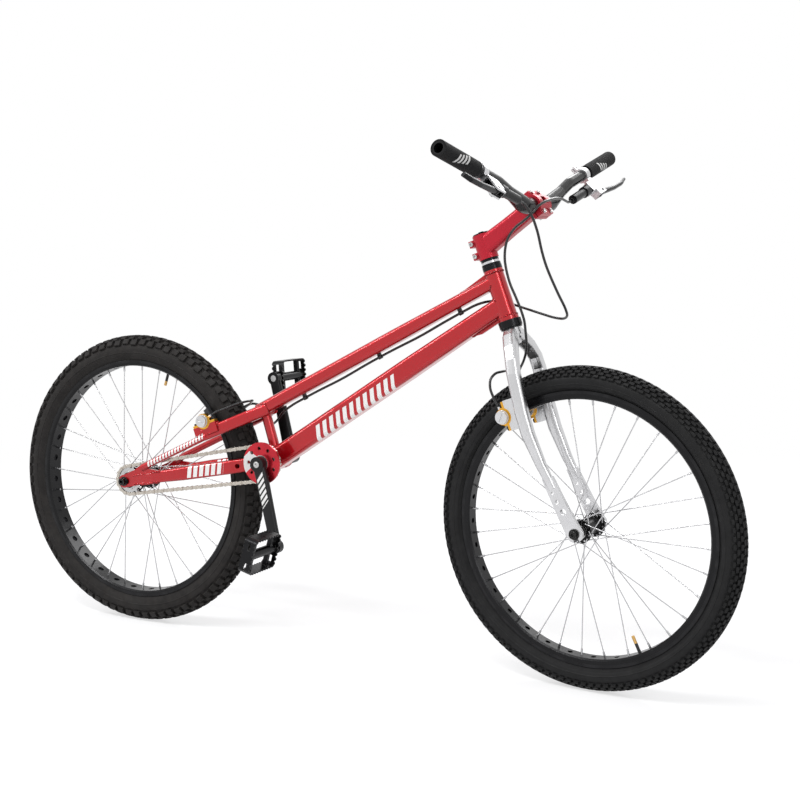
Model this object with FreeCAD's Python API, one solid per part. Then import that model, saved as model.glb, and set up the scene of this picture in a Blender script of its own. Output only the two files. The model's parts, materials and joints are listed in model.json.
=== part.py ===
import FreeCAD, Part
import math
import os

from FreeCAD import Placement, Rotation, Vector

# Trials bike. Millimetres, X forward, Y to the rider's left, Z up.
# The origin is the middle of the rear axle. The handlebar is turned a little to the right at rest.

# Frame layout
WHEELBASE = 1033.0
HEAD_ANGLE = 70.0
FORK_RAKE = 21.0
REST_STEER = -4.8
BOTTOM_BRACKET_RISE = 65.0
TOP_TUBE_HEAD_HEIGHT = 494.0
DOWN_TUBE_HEAD_HEIGHT = 447.0
TOP_TUBE_REAR_X = 310.0
TOP_TUBE_REAR_Z = 166.0
TOP_TUBE_WIDTH = 34.0
TOP_TUBE_HEAD_DEPTH = 24.0
TOP_TUBE_REAR_DEPTH = 28.5
DOWN_TUBE_WIDTH = 42.0
DOWN_TUBE_HEAD_DEPTH = 35.0
DOWN_TUBE_REAR_DEPTH = 43.0
FULL_DEPTH_AT = 0.4
TUBE_CORNER = 9.0
TUBE_WALL = 2.0
TUBE_PLUG = 26.0
SEAT_TUBE_RADIUS = 10.5
CHAINSTAY_DEPTH = 29.0
SEATSTAY_DEPTH = 26.0
STAY_THICKNESS = 15.0
SLIM_STAY_RADIUS = 7.5
DROPOUT_THICKNESS = 6.0
DROPOUT_RADIUS = 14.0
GUSSET_THICKNESS = 6.0
REAR_HUB_WIDTH = 116.0
FRONT_HUB_WIDTH = 100.0

# Head tube and headset, heights along the head axis above the front axle's foot
HEAD_TUBE_LOW = 415.0
HEAD_TUBE_LENGTH = 101.0
HEAD_TUBE_RADIUS = 18.5
HEAD_TUBE_BORE = 16.2
LOWER_CUP_RADIUS = 22.5
UPPER_CUP_RADIUS = 19.0
LOWER_CUP_HEIGHT = 13.4
UPPER_CUP_HEIGHT = 8.0
LOWER_BEARING_RADIUS = 20.5
UPPER_BEARING_RADIUS = 17.6
RACE_RADIUS = 15.5
CUP_SKIRT = 10.0
STEERER_RADIUS = 14.3
STEERER_WALL = 2.0

# Bottom bracket
SHELL_HALF_WIDTH = 34.0
SHELL_RADIUS = 21.5
SHELL_BORE = 17.5
CUP_FLANGE = 3.5
BRACKET_BEARING_RADIUS = 15.0
BRACKET_BEARING_WIDTH = 7.0
CRANK_AXLE_RADIUS = 8.45

# Chain drive
PITCH = 12.7
ROLLER_RADIUS = 3.87
PIN_RADIUS = 1.8
FRONT_TEETH = 18
REAR_TEETH = 15
FRONT_SEATED_LINKS = 9
REAR_SEATED_LINKS = 7
SPAN_LINKS = 28
CHAIN_LINE = 45.0
TOOTH_WIDTH = 2.9
INNER_GAP = 3.3
CHAIN_PLATE = 1.0
CHAIN_PLATE_HALF_HEIGHT = 4.1
FREEWHEEL_CORE_RADIUS = 22.0

# Cranks and pedals
CRANK_LENGTH = 170.0
CRANK_ANGLE = -72.0
CRANK_THICKNESS = 15.0
CRANK_HUB_Y = 64.5
CRANK_EYE_Y = 79.0
CRANK_BOSS_RADIUS = 15.5
CRANK_EYE_RADIUS = 13.5
CRANK_CARRIER_RADIUS = 14.5
CRANK_BOLT_RADIUS = 4.0
BASH_RING_RADIUS = 43.5
BASH_RING_THICKNESS = 3.5
BASH_RING_HOLES = 9
PEDAL_LENGTH = 95.0
PEDAL_REACH = 36.0
PEDAL_HALF_DEPTH = 14.0
PEDAL_STRIP = 3.0
PEDAL_BARREL_RADIUS = 9.5
PEDAL_THREAD_RADIUS = 7.0
SPINDLE_RADIUS = 5.0
NEAR_PEDAL_TILT = 15.0
FAR_PEDAL_TILT = -5.0

# Wheels
REAR_TYRE_RADIUS = 314.0
FRONT_TYRE_RADIUS = 305.0
REAR_TYRE_SECTION = 32.0
FRONT_TYRE_SECTION = 28.0
TREAD_DEPTH = 4.0
CASING_WALL = 2.6
BEAD_RADIUS = 253.5
BEAD_WIDTH = 3.2
FLANGE_RADIUS = 259.5
REAR_RIM_WIDTH = 44.0
FRONT_RIM_WIDTH = 31.0
REAR_RIM_BED = 247.5
FRONT_RIM_BED = 243.0
RIM_WALL = 2.0
RIM_SHELF = 5.0
REAR_RIM_HOLE = 6.5
FRONT_RIM_HOLE = 5.0
SPOKE_COUNT = 32
SPOKE_CROSSES = 3
SPOKE_RADIUS = 1.0
SPOKE_HOLE_INSET = 3.3
NIPPLE_RADIUS = 2.0
NIPPLE_LENGTH = 14.0
HUB_FLANGE_THICKNESS = 3.0
REAR_FLANGE_RADIUS = 29.0
FRONT_FLANGE_RADIUS = 22.5
REAR_FLANGE_Y = 28.0
FRONT_FLANGE_Y = 31.0
HUB_BOSS_RADIUS = 16.8
HUB_END_Y = 38.0
REAR_HUB_DRIVE_Y = 48.0
WHEEL_BEARING_RADIUS = 14.0
WHEEL_BEARING_WIDTH = 7.0
AXLE_RADIUS = 7.45
AXLE_BOLT_RADIUS = 5.0
VALVE_RADIUS = 3.0
REAR_VALVE_SLOT = 6
FRONT_VALVE_SLOT = 24

# Fork
STEERER_TOP = 586.0
CROWN_TOP = 398.0
CROWN_RADIUS = 18.0
FORK_DROPOUT_INNER_Y = 50.0
FORK_DROPOUT_THICKNESS = 8.0
FORK_END_RADIUS = 16.0

# Fork blade from crown to dropout: height, forward, left, thickness across, depth fore and aft
FORK_STATIONS = [
    (392, 0, 5, 30, 26),
    (379, 1, 21, 28, 27),
    (360, 4, 37, 25, 27),
    (337, 4.5, 49, 23, 26.5),
    (313, 2, 54.5, 22.5, 26.5),
    (240, -5, 57, 22, 26.5),
    (197, -6.5, 57, 21, 26),
    (136, -1, 55.5, 17, 20),
    (112, 3, 55, 14, 18),
    (90, 6, 54.5, 11, 16),
]

# Holes in the fork's dropout: height, forward, radius
FORK_HOLES = [(82, 4, 3.0), (64, 8.5, 4.5), (44, 13.5, 6.0)]

# Stem and handlebar
STEM_LOW = 539.0
STEM_TOP = 588.0
STEM_CLAMP_RADIUS = 19.0
CAP_RADIUS = 17.0
STEM_BOLT_HEIGHTS = (551.0, 576.0)
STEM_BOLT_P = -21.0
BAR_FORWARD = 128.0
BAR_HEIGHT = 600.0
BAR_ROLL = 16.7
BAR_CENTRE_RADIUS = 15.9
BAR_RADIUS = 11.1
BAR_WALL = 2.0
BAR_FIRST_BEND_Y = 48.0
BAR_SECOND_BEND_Y = 150.0
BAR_SECOND_BEND_RISE = 43.0
BAR_END_Y = 354.0
BAR_END_RISE = 97.0
BAR_BEND_RADIUS = 60.0
BAR_TAPER_LENGTH = 55.0
BAR_CLAMP_RADIUS = 21.0
BAR_CLAMP_HALF_WIDTH = 23.0
CLAMP_SPLIT = 0.6
M5_RADIUS = 2.5
GRIP_LENGTH = 126.0
GRIP_RADIUS = 15.2

# Brake levers
LEVER_Y = 215.0
LEVER_DROP = 32.0
LEVER_ARM = 18.0
LEVER_TILT = 24.0
LEVER_NOSE_X = -7.0
LEVER_NOSE_RADIUS = 5.0
LEVER_HALF_WIDTH = 5.6
CHEEK_OUTER = 9.5
CHEEK_INNER = 6.2
MASTER_RADIUS = 9.0
MASTER_START = 31.0
MASTER_LENGTH = 75.0
MASTER_THREAD_RADIUS = 7.0
MASTER_PORT = 8.0
MASTER_PISTON_RADIUS = 5.0

# Rim brakes
SLAVE_RADIUS = 13.5
SLAVE_INNER_Y = 38.0
SLAVE_OUTER_Y = 64.0
SLAVE_CAP = 5.0
SLAVE_PISTON_RADIUS = 8.0
SLAVE_CLAMP_RADIUS = 17.5
SLAVE_STRAP_RADIUS = 15.3
CLAMP_INNER_Y = 48.0
CLAMP_OUTER_Y = 61.0
CLAMP_SEAT = 9.0
CLAMP_BOLT_OFFSET = 23.0
REAR_SLAVE_X = 204.5
REAR_SLAVE_Z = 144.0
REAR_SLAVE_TILT = -21.0
FRONT_SLAVE_P = -44.4
FRONT_SLAVE_H = 242.7
PAD_LENGTH = 50.0
PAD_HEIGHT = 9.2
PAD_THICKNESS = 8.0
PAD_GAP = 2.3
PORT_ANGLE = 15.0
UNION_RADIUS = 3.9
PORT_REACH = 8.0
CROSSOVER_PORT_Y = 53.5
MAIN_PORT_Y = 63.2
TENSIONER_X = (52.0, 82.0)
TENSIONER_SEAT = 13.5

# Hoses
HOSE_RADIUS = 2.5
HOSE_DROP = 21.0
CLIP_RADIUS = 4.5
CLIP_LENGTH = 8.0
CLIP_X = (770.0, 593.0, 419.0)
CLIP_RUN = 30.0
HOSE_SAG = 2.5

# Clearances
RUNNING = 0.05
GAP = 0.3

ORIGIN = Vector(0, 0, 0)
FORWARD = Vector(1, 0, 0)
ALONG_Y = Vector(0, 1, 0)
UP = Vector(0, 0, 1)

# The head axis frame has X forward of the axis, Y left and Z up the axis
head = math.radians(HEAD_ANGLE)
head_up = Vector(-math.cos(head), 0, math.sin(head))
head_forward = Vector(math.sin(head), 0, math.cos(head))
front_hub = Vector(WHEELBASE, 0, FRONT_TYRE_RADIUS - REAR_TYRE_RADIUS)
head_foot = front_hub - head_forward * FORK_RAKE
HEAD_FRAME = Placement(head_foot, Rotation(ALONG_Y, HEAD_ANGLE - 90.0))
STEERED = HEAD_FRAME.multiply(Placement(ORIGIN, Rotation(UP, REST_STEER)))
head_tube_top = HEAD_TUBE_LOW + HEAD_TUBE_LENGTH

# The chain sets how far the bottom bracket lies from the rear axle
rear_pitch_radius = PITCH / (2 * math.sin(math.pi / REAR_TEETH))
front_pitch_radius = PITCH / (2 * math.sin(math.pi / FRONT_TEETH))
rear_leave = math.pi * REAR_SEATED_LINKS / REAR_TEETH
front_leave = math.pi * FRONT_SEATED_LINKS / FRONT_TEETH
span_rise = front_pitch_radius * math.sin(front_leave) - rear_pitch_radius * math.sin(rear_leave)
span_run = math.sqrt((SPAN_LINKS * PITCH) ** 2 - span_rise ** 2)
axle_distance = (
    span_run - rear_pitch_radius * math.cos(rear_leave) - front_pitch_radius * math.cos(front_leave)
)
drive_angle = math.asin(BOTTOM_BRACKET_RISE / axle_distance)
bracket = Vector(axle_distance * math.cos(drive_angle), 0, BOTTOM_BRACKET_RISE)

# The top tube runs from the head axis to the top of the seat tube
top_head = head_foot + head_up * TOP_TUBE_HEAD_HEIGHT
top_rear = Vector(TOP_TUBE_REAR_X, 0, TOP_TUBE_REAR_Z)
top_way = (top_rear - top_head).normalize()
top_slope = math.degrees(math.atan2(-top_way.z, -top_way.x))
down_head = head_foot + head_up * DOWN_TUBE_HEAD_HEIGHT

# Brake frames: the cylinder lies along Y, its mount lies towards -Z
REAR_BRAKE = Placement(Vector(REAR_SLAVE_X, 0, REAR_SLAVE_Z), Rotation(ALONG_Y, REAR_SLAVE_TILT))
FRONT_BRAKE = Placement(Vector(FRONT_SLAVE_P, 0, FRONT_SLAVE_H), Rotation(ALONG_Y, -90.0))
clamp_middle_y = (CLAMP_INNER_Y + CLAMP_OUTER_Y) / 2

nodes = {}


def node(name, *shapes):
    """Adds solids to a sub-part."""
    nodes.setdefault(name, []).extend(shapes)


# Shape helpers

def cylinder(start, end, radius):
    axis = end - start
    return Part.makeCylinder(radius, axis.Length, start, axis)


def tube(start, end, outer, inner):
    return cylinder(start, end, outer).cut(cylinder(start, end, inner))


def disc_x(radius, x0, x1, z=0.0):
    return Part.makeCylinder(radius, x1 - x0, Vector(x0, 0, z), FORWARD)


def disc_y(radius, y0, y1, centre=ORIGIN):
    low, high = min(y0, y1), max(y0, y1)
    return Part.makeCylinder(radius, high - low, Vector(centre.x, low, centre.z), ALONG_Y)


def ring_y(outer, inner, y0, y1, centre=ORIGIN):
    return disc_y(outer, y0, y1, centre).cut(disc_y(inner, y0, y1, centre))


def disc_z(radius, z0, z1):
    return Part.makeCylinder(radius, z1 - z0, Vector(0, 0, z0), UP)


def ring_z(outer, inner, z0, z1):
    return disc_z(outer, z0, z1).cut(disc_z(inner, z0, z1))


def block(x0, x1, y0, y1, z0, z1):
    return Part.makeBox(x1 - x0, y1 - y0, z1 - z0, Vector(x0, y0, z0))


def fuse(shapes):
    """One solid of all the shapes, joined one after another."""
    whole = shapes[0]
    for shape in shapes[1:]:
        whole = whole.fuse(shape)
    return whole.removeSplitter()


def prism(corners, way):
    """A straight-sided solid: a flat outline carried along way."""
    return Part.Face(Part.makePolygon(corners + corners[:1])).extrude(way)


def plate_y(points, y0, y1):
    """A flat plate from its outline (x, z), between two values of y."""
    return prism([Vector(x, y0, z) for x, z in points], ALONG_Y * (y1 - y0))


def revolved_y(points, degrees=360):
    """A turned piece about the Y axis from its outline (radius, y)."""
    corners = [Vector(radius, y, 0) for radius, y in points]
    return Part.Face(Part.makePolygon(corners + corners[:1])).revolve(ORIGIN, ALONG_Y, degrees)


def revolved_z(points):
    """A turned piece about the Z axis from its outline (radius, z)."""
    corners = [Vector(radius, 0, z) for radius, z in points]
    return Part.Face(Part.makePolygon(corners + corners[:1])).revolve(ORIGIN, UP, 360)


def mirrored(shape):
    return shape.mirror(ORIGIN, ALONG_Y)


def unchanged(shape):
    return shape


def moved(shape, placement):
    copy = shape.copy()
    copy.Placement = placement.multiply(copy.Placement)
    return copy


def turned(shape, axis, degrees):
    copy = shape.copy()
    copy.rotate(ORIGIN, axis, degrees)
    return copy


def shifted(shape, offset):
    copy = shape.copy()
    copy.translate(offset)
    return copy


def polar(radius, angle, y=0.0):
    return Vector(radius * math.cos(angle), y, radius * math.sin(angle))


def rounded_section(centre, along, side, width, depth, corner):
    """A rounded rectangle square to along, with its width lying along side."""
    along = Vector(along).normalize()
    across = (side - along * side.dot(along)).normalize()
    rise = along.cross(across)
    arcs = []
    for sign_x, sign_y, first in ((1, 1, 0), (-1, 1, 90), (-1, -1, 180), (1, -1, 270)):
        middle = centre + across * (sign_x * (width / 2 - corner)) + rise * (sign_y * (depth / 2 - corner))
        points = []
        for angle in (first, first + 45, first + 90):
            t = math.radians(angle)
            points.append(middle + across * (corner * math.cos(t)) + rise * (corner * math.sin(t)))
        arcs.append(points)
    edges = []
    for index, points in enumerate(arcs):
        edges.append(Part.Arc(*points).toShape())
        edges.append(Part.LineSegment(points[2], arcs[(index + 1) % 4][0]).toShape())
    return Part.Wire(edges)


def lofted(stations, side=ALONG_Y, inset=0.0):
    """A bar through stations (centre, width, depth), each square to the way through it."""
    wires = []
    last = len(stations) - 1
    for index, (centre, width, depth) in enumerate(stations):
        along = stations[min(index + 1, last)][0] - stations[max(index - 1, 0)][0]
        corner = min(TUBE_CORNER, 0.42 * min(width, depth)) - inset
        wires.append(rounded_section(centre, along, side, width - 2 * inset, depth - 2 * inset, corner))
    return Part.makeLoft(wires, True, True)


def shortened(stations, start, end):
    """The same stations with both ends moved in, for the hollow of a tube."""
    first, second = stations[0][0], stations[1][0]
    last, previous = stations[-1][0], stations[-2][0]
    inner = list(stations)
    inner[0] = (first + (second - first).normalize() * start,) + stations[0][1:]
    inner[-1] = (last + (previous - last).normalize() * end,) + stations[-1][1:]
    return inner


def arc_through(start, corner, end):
    """The arc that touches both runs of a corner, and its radius."""
    arriving = (corner - start).normalize()
    leaving = (end - corner).normalize()
    half_turn = arriving.getAngle(leaving) / 2
    radius = (corner - start).Length / math.tan(half_turn)
    inward = (leaving - arriving).normalize()
    middle = corner + inward * (radius / math.cos(half_turn) - radius)
    return Part.Arc(start, middle, end).toShape(), radius


def route_path(points):
    """Straight runs joined by tangent arcs, and the radius of each arc."""
    radii = []
    edges = []
    start = points[0]
    for before, corner, after in zip(points, points[1:], points[2:]):
        setback = 0.45 * min((corner - before).Length, (after - corner).Length)
        arc_start = corner - (corner - before).normalize() * setback
        arc_end = corner + (after - corner).normalize() * setback
        arc, radius = arc_through(arc_start, corner, arc_end)
        edges.append(Part.LineSegment(start, arc_start).toShape())
        edges.append(arc)
        radii.append(radius)
        start = arc_end
    edges.append(Part.LineSegment(start, points[-1]).toShape())
    return Part.Wire(edges), radii


def piped(path, start, way, radius):
    """A round bar along a path."""
    section = Part.Wire(Part.Circle(start, way, radius).toShape())
    return path.makePipeShell([section], True, False)


def hose(name, points):
    """A hose as a node of its own; prints its length and its tightest bend."""
    path, radii = route_path(points)
    solid = piped(path, points[0], points[1] - points[0], HOSE_RADIUS)
    expected = math.pi * HOSE_RADIUS ** 2 * path.Length
    print(name, "length %.0f, tightest bend %.1f" % (path.Length, min(radii)))
    print(name, "volume against section and length %.4f" % (solid.Volume / expected))
    node(name, solid)


def mirrored_route(half):
    """A route and its mirror image joined in the middle."""
    return half + [Vector(point.x, -point.y, point.z) for point in half[::-1]]


def socket_bolt(seat, axis, length, shank, head_radius, head_height):
    """A socket bolt: its head stands on seat, its shank goes along axis."""
    axis = Vector(axis).normalize()
    body = cylinder(seat, seat + axis * length, shank)
    cap = cylinder(seat - axis * head_height, seat, head_radius)
    socket = cylinder(seat - axis * head_height, seat - axis * (0.4 * head_height), 0.5 * head_radius)
    return body.fuse(cap).cut(socket).removeSplitter()


# Sprockets and chain

def sprocket(teeth, bore, body_radius, body_y0, body_y1, phase):
    """A sprocket about Y; its tooth gaps lie at phase and every pitch on from it."""
    pitch_radius = PITCH / (2 * math.sin(math.pi / teeth))
    seat = ROLLER_RADIUS + GAP
    half = TOOTH_WIDTH / 2
    disc = fuse([disc_y(pitch_radius + 0.30 * PITCH, -half, half), disc_y(body_radius, body_y0, body_y1)])
    gaps = [disc_y(bore, body_y0 - 1, body_y1 + 1)]
    for index in range(teeth):
        angle = phase + 2 * math.pi * index / teeth
        out = polar(1.0, angle)
        across = Vector(-out.z, 0, out.x)
        middle = out * pitch_radius
        far = out * (pitch_radius + 0.45 * PITCH)
        spread = seat + 0.17 * PITCH
        corners = [middle - across * seat, middle + across * seat, far + across * spread, far - across * spread]
        gaps.append(disc_y(seat, -half - 1, half + 1, middle))
        gaps.append(plate_y([(point.x, point.z) for point in corners], -half - 1, half + 1))
    return disc.cut(gaps)


def chain_points():
    """The pins' centres round the loop, as (x, z)."""
    rear = []
    for index in range(REAR_SEATED_LINKS + 1):
        point = polar(rear_pitch_radius, math.pi - rear_leave + 2 * rear_leave * index / REAR_SEATED_LINKS)
        rear.append((point.x, point.z))
    front = []
    for index in range(FRONT_SEATED_LINKS + 1):
        point = polar(front_pitch_radius, -front_leave + 2 * front_leave * index / FRONT_SEATED_LINKS)
        front.append((axle_distance + point.x, point.z))

    def between(first, second):
        run = (second[0] - first[0]) / SPAN_LINKS
        rise = (second[1] - first[1]) / SPAN_LINKS
        return [(first[0] + run * step, first[1] + rise * step) for step in range(1, SPAN_LINKS)]

    loop = rear + between(rear[-1], front[0]) + front + between(front[-1], rear[0])
    cosine, sine = math.cos(drive_angle), math.sin(drive_angle)
    return [(x * cosine - z * sine, x * sine + z * cosine) for x, z in loop]


def link_plate(y0, y1):
    half = CHAIN_PLATE_HALF_HEIGHT
    ends = [disc_y(half, y0, y1), disc_y(half, y0, y1, FORWARD * PITCH)]
    return fuse(ends + [block(0, PITCH, min(y0, y1), max(y0, y1), -0.75 * half, 0.75 * half)])


def inner_link():
    inner = INNER_GAP / 2
    outer = inner + CHAIN_PLATE
    ends = [ORIGIN, FORWARD * PITCH]
    solid = [link_plate(-outer, -inner), link_plate(inner, outer)]
    solid += [disc_y(ROLLER_RADIUS, -inner, inner, end) for end in ends]
    return fuse(solid).cut([disc_y(PIN_RADIUS + RUNNING, -outer, outer, end) for end in ends])


def outer_link():
    inner = INNER_GAP / 2 + CHAIN_PLATE + RUNNING
    outer = inner + CHAIN_PLATE
    pin_end = outer + 0.5
    solid = [link_plate(-outer, -inner), link_plate(inner, outer)]
    solid += [disc_y(PIN_RADIUS, -pin_end, pin_end, end) for end in (ORIGIN, FORWARD * PITCH)]
    return fuse(solid)


def make_chain():
    points = chain_points()
    patterns = [("chain_inner_links", inner_link()), ("chain_outer_links", outer_link())]
    for index, (x, z) in enumerate(points):
        next_x, next_z = points[(index + 1) % len(points)]
        name, pattern = patterns[index % 2]
        link = turned(pattern, ALONG_Y, -math.degrees(math.atan2(next_z - z, next_x - x)))
        node(name, shifted(link, Vector(x, -CHAIN_LINE, z)))


# Wheels, built about the Y axis

def spoke_lines(flange_radius, flange_y, bed):
    """Each spoke: its elbow, its rim end and the y of its head on the other side of the flange."""
    step = 2 * math.pi / SPOKE_COUNT
    hole_radius = flange_radius - SPOKE_HOLE_INSET
    close = HUB_FLANGE_THICKNESS / 2 + SPOKE_RADIUS + RUNNING
    lines = []
    for index in range(SPOKE_COUNT):
        side = 1 if index % 2 == 0 else -1
        outside = 1 if (index // 2) % 2 == 0 else -1
        hub_angle = step * (index + outside * SPOKE_CROSSES * 2)
        away = close + 1.2 if outside > 0 else close
        elbow = polar(hole_radius, hub_angle, side * (flange_y + outside * away))
        rim_end = polar(bed + RIM_WALL + 0.6, step * index)
        lines.append((elbow, rim_end, side * (flange_y - outside * close)))
    return lines


def make_spokes(name, lines, place):
    for elbow, rim_end, head_y in lines:
        along = (rim_end - elbow).normalize()
        head_end = Vector(elbow.x, head_y, elbow.z)
        inward = (elbow - head_end).normalize()
        shank = cylinder(elbow, rim_end - along, SPOKE_RADIUS)
        elbow_ball = Part.makeSphere(SPOKE_RADIUS, elbow)
        through_flange = cylinder(elbow, head_end, SPOKE_RADIUS)
        button = cylinder(head_end, head_end + inward * SPOKE_RADIUS, 1.8 * SPOKE_RADIUS)
        node(name, moved(fuse([shank, elbow_ball, through_flange, button]), place))
        low = rim_end - along * NIPPLE_LENGTH
        top = rim_end + along * 1.4
        barrel = cylinder(low, rim_end, NIPPLE_RADIUS).fuse(cylinder(rim_end, top, 1.5 * NIPPLE_RADIUS))
        bore = cylinder(low - along, top + along, SPOKE_RADIUS + RUNNING)
        node(name, moved(barrel.cut(bore).removeSplitter(), place))


def rim_hole_angle(slot):
    """Between two spoke holes."""
    return 2 * math.pi * (slot + 0.5) / SPOKE_COUNT


def rim_solid(width, bed, lines, valve_slot, hole_radius):
    half = width / 2
    slope = 3.0
    trough = half - RIM_WALL - RIM_SHELF
    outline = [
        (FLANGE_RADIUS, half), (bed + slope, half), (bed, half - slope),
        (bed, slope - half), (bed + slope, -half), (FLANGE_RADIUS, -half),
        (FLANGE_RADIUS, RIM_WALL - half), (BEAD_RADIUS, RIM_WALL - half),
        (BEAD_RADIUS, -trough), (bed + RIM_WALL, 1.0 - trough),
        (bed + RIM_WALL, trough - 1.0), (BEAD_RADIUS, trough),
        (BEAD_RADIUS, half - RIM_WALL), (FLANGE_RADIUS, half - RIM_WALL),
    ]
    cuts = []
    for elbow, rim_end, head_y in lines:
        along = (rim_end - elbow).normalize()
        cuts.append(cylinder(rim_end - along * 9, rim_end + along * 3, NIPPLE_RADIUS + RUNNING))
    for slot in range(SPOKE_COUNT):
        radius = VALVE_RADIUS + GAP if slot == valve_slot else hole_radius
        angle = rim_hole_angle(slot)
        cuts.append(cylinder(polar(bed - 4, angle), polar(bed + 4, angle), radius))
    return revolved_y(outline).cut(cuts)


def tape_solid(width, bed, valve_slot):
    inner = bed + RIM_WALL + 2.4
    half = width / 2 - RIM_WALL - RIM_SHELF - 2.0
    angle = rim_hole_angle(valve_slot)
    hole = cylinder(polar(bed, angle), polar(BEAD_RADIUS + 3, angle), VALVE_RADIUS + GAP)
    return ring_y(inner + 0.8, inner, -half, half).cut(hole)


def arc_outline(centre, radius, start, end, steps):
    points = []
    for index in range(steps + 1):
        angle = math.radians(start + (end - start) * index / steps)
        points.append((centre + radius * math.cos(angle), radius * math.sin(angle)))
    return points


def tyre_solid(outer_radius, section, rim_width):
    """A casing with beads inside the rim's walls and ribs of tread round it."""
    centre = outer_radius - section
    casing = section - TREAD_DEPTH
    foot = rim_width / 2 - RIM_WALL - RUNNING
    bead = BEAD_RADIUS + RUNNING
    lip = FLANGE_RADIUS + GAP
    outside = [(bead, -foot), (lip, -foot)] + arc_outline(centre, casing, -118, 118, 16)
    outside += [(lip, foot), (bead, foot)]
    inner_foot = foot - BEAD_WIDTH
    inside = [(bead, -inner_foot), (lip + 1, -inner_foot)]
    inside += arc_outline(centre, casing - CASING_WALL, -116, 116, 16)
    inside += [(lip + 1, inner_foot), (bead, inner_foot)]
    parts = [revolved_y(outside + inside[::-1])]
    for low, high in ((-66, -44), (-38, -17), (-11, 11), (17, 38), (44, 66)):
        top = arc_outline(centre, section, low, high, 3)
        bottom = arc_outline(centre, casing - 1.0, low, high, 3)
        parts.append(revolved_y(top + bottom[::-1]))
    return fuse(parts)


def inner_tube_solid(outer_radius, section, rim_width, bed, valve_slot):
    """A hollow ring with its valve through the rim."""
    centre = outer_radius - section
    bead_foot = rim_width / 2 - RIM_WALL - BEAD_WIDTH - RUNNING
    to_bead = math.hypot(centre - FLANGE_RADIUS - GAP - 1.0, bead_foot)
    radius = min(section - TREAD_DEPTH - CASING_WALL, to_bead) - 2 * GAP
    rubber = 1.2
    angle = rim_hole_angle(valve_slot)
    valve = cylinder(polar(bed - 32, angle), polar(centre - radius + rubber, angle), VALVE_RADIUS)
    ring = Part.makeTorus(centre, radius, ORIGIN, ALONG_Y).fuse(valve)
    return ring.cut(Part.makeTorus(centre, radius - rubber, ORIGIN, ALONG_Y))


def hub_solid(flange_radius, flange_y, right_end, left_end, lines):
    waist = HUB_BOSS_RADIUS - 3.0
    flat = flange_radius - SPOKE_HOLE_INSET - 2.2
    half = HUB_FLANGE_THICKNESS / 2
    seat = WHEEL_BEARING_RADIUS + RUNNING
    bore = AXLE_RADIUS + 1.0
    width = WHEEL_BEARING_WIDTH
    outline = [
        (HUB_BOSS_RADIUS, -right_end), (HUB_BOSS_RADIUS, -flange_y - half), (flange_radius, -flange_y - half),
        (flange_radius, half - flange_y), (flat, half - flange_y), (waist, half + 9 - flange_y),
        (waist, flange_y - half - 9), (flat, flange_y - half), (flange_radius, flange_y - half),
        (flange_radius, flange_y + half), (HUB_BOSS_RADIUS, flange_y + half), (HUB_BOSS_RADIUS, left_end),
        (seat, left_end), (seat, left_end - width), (bore, left_end - width),
        (bore, width - right_end), (seat, width - right_end), (seat, -right_end),
    ]
    holes = []
    for elbow, rim_end, head_y in lines:
        holes.append(disc_y(SPOKE_RADIUS + RUNNING, elbow.y, head_y, elbow))
    return revolved_y(outline).cut(holes)


def bearing(bore, radius, y0, y1):
    """A sealed ball bearing with a shallow groove on each face for its seal."""
    middle = (bore + radius) / 2
    groove = 1.5
    depth = 0.4
    seals = [ring_y(middle + groove, middle - groove, y0, y0 + depth)]
    seals.append(ring_y(middle + groove, middle - groove, y1 - depth, y1))
    return ring_y(radius, bore, y0, y1).cut(seals)


def make_wheel(prefix, place, tyre_radius, section, width, bed, flange_radius, flange_y, right_end,
               valve_slot, hole_radius):
    lines = spoke_lines(flange_radius, flange_y, bed)
    bore = AXLE_RADIUS + RUNNING
    left_end = HUB_END_Y
    node(prefix + "_hub", moved(hub_solid(flange_radius, flange_y, right_end, left_end, lines), place))
    for inner_y in (left_end - WHEEL_BEARING_WIDTH, -right_end):
        ball_race = bearing(bore, WHEEL_BEARING_RADIUS, inner_y, inner_y + WHEEL_BEARING_WIDTH)
        node(prefix + "_hub_bearings", moved(ball_race, place))
    make_spokes(prefix + "_spokes", lines, place)
    node(prefix + "_rim", moved(rim_solid(width, bed, lines, valve_slot, hole_radius), place))
    node(prefix + "_rim_tape", moved(tape_solid(width, bed, valve_slot), place))
    node(
        prefix + "_inner_tube",
        moved(inner_tube_solid(tyre_radius, section, width, bed, valve_slot), place),
    )
    node(prefix + "_tyre", moved(tyre_solid(tyre_radius, section, width), place))


def make_axle(name, place, half_width, plate, right_end, head_height):
    """The axle with its spacers, washers and end bolts."""
    pieces = [ring_y(AXLE_RADIUS, AXLE_BOLT_RADIUS + RUNNING, -half_width, half_width)]
    outer = half_width + plate
    washer = 2.0
    for side, shell_end in ((-1, right_end), (1, HUB_END_Y)):
        start = side * (shell_end + GAP)
        pieces.append(ring_y(AXLE_RADIUS + 3.5, AXLE_RADIUS + RUNNING, start, side * half_width))
        pieces.append(ring_y(10.0, AXLE_BOLT_RADIUS + RUNNING, side * outer, side * (outer + washer)))
        seat = ALONG_Y * (side * (outer + washer))
        pieces.append(socket_bolt(seat, ALONG_Y * -side, plate + 24, AXLE_BOLT_RADIUS, 7.5, head_height))
    for piece in pieces:
        node(name, moved(piece, place))


# Frame

def stay_point(x, y):
    """A point on the straight line from the rear axle to the bottom bracket."""
    return Vector(x, y, x * math.tan(drive_angle))


def along_stay(shape):
    """Turns a shape built level so that it follows the chainstay."""
    return turned(shape, ALONG_Y, -math.degrees(drive_angle))


def brake_bolt_spots(z):
    return [Vector(offset, clamp_middle_y, z) for offset in (-CLAMP_BOLT_OFFSET, CLAMP_BOLT_OFFSET)]


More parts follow.
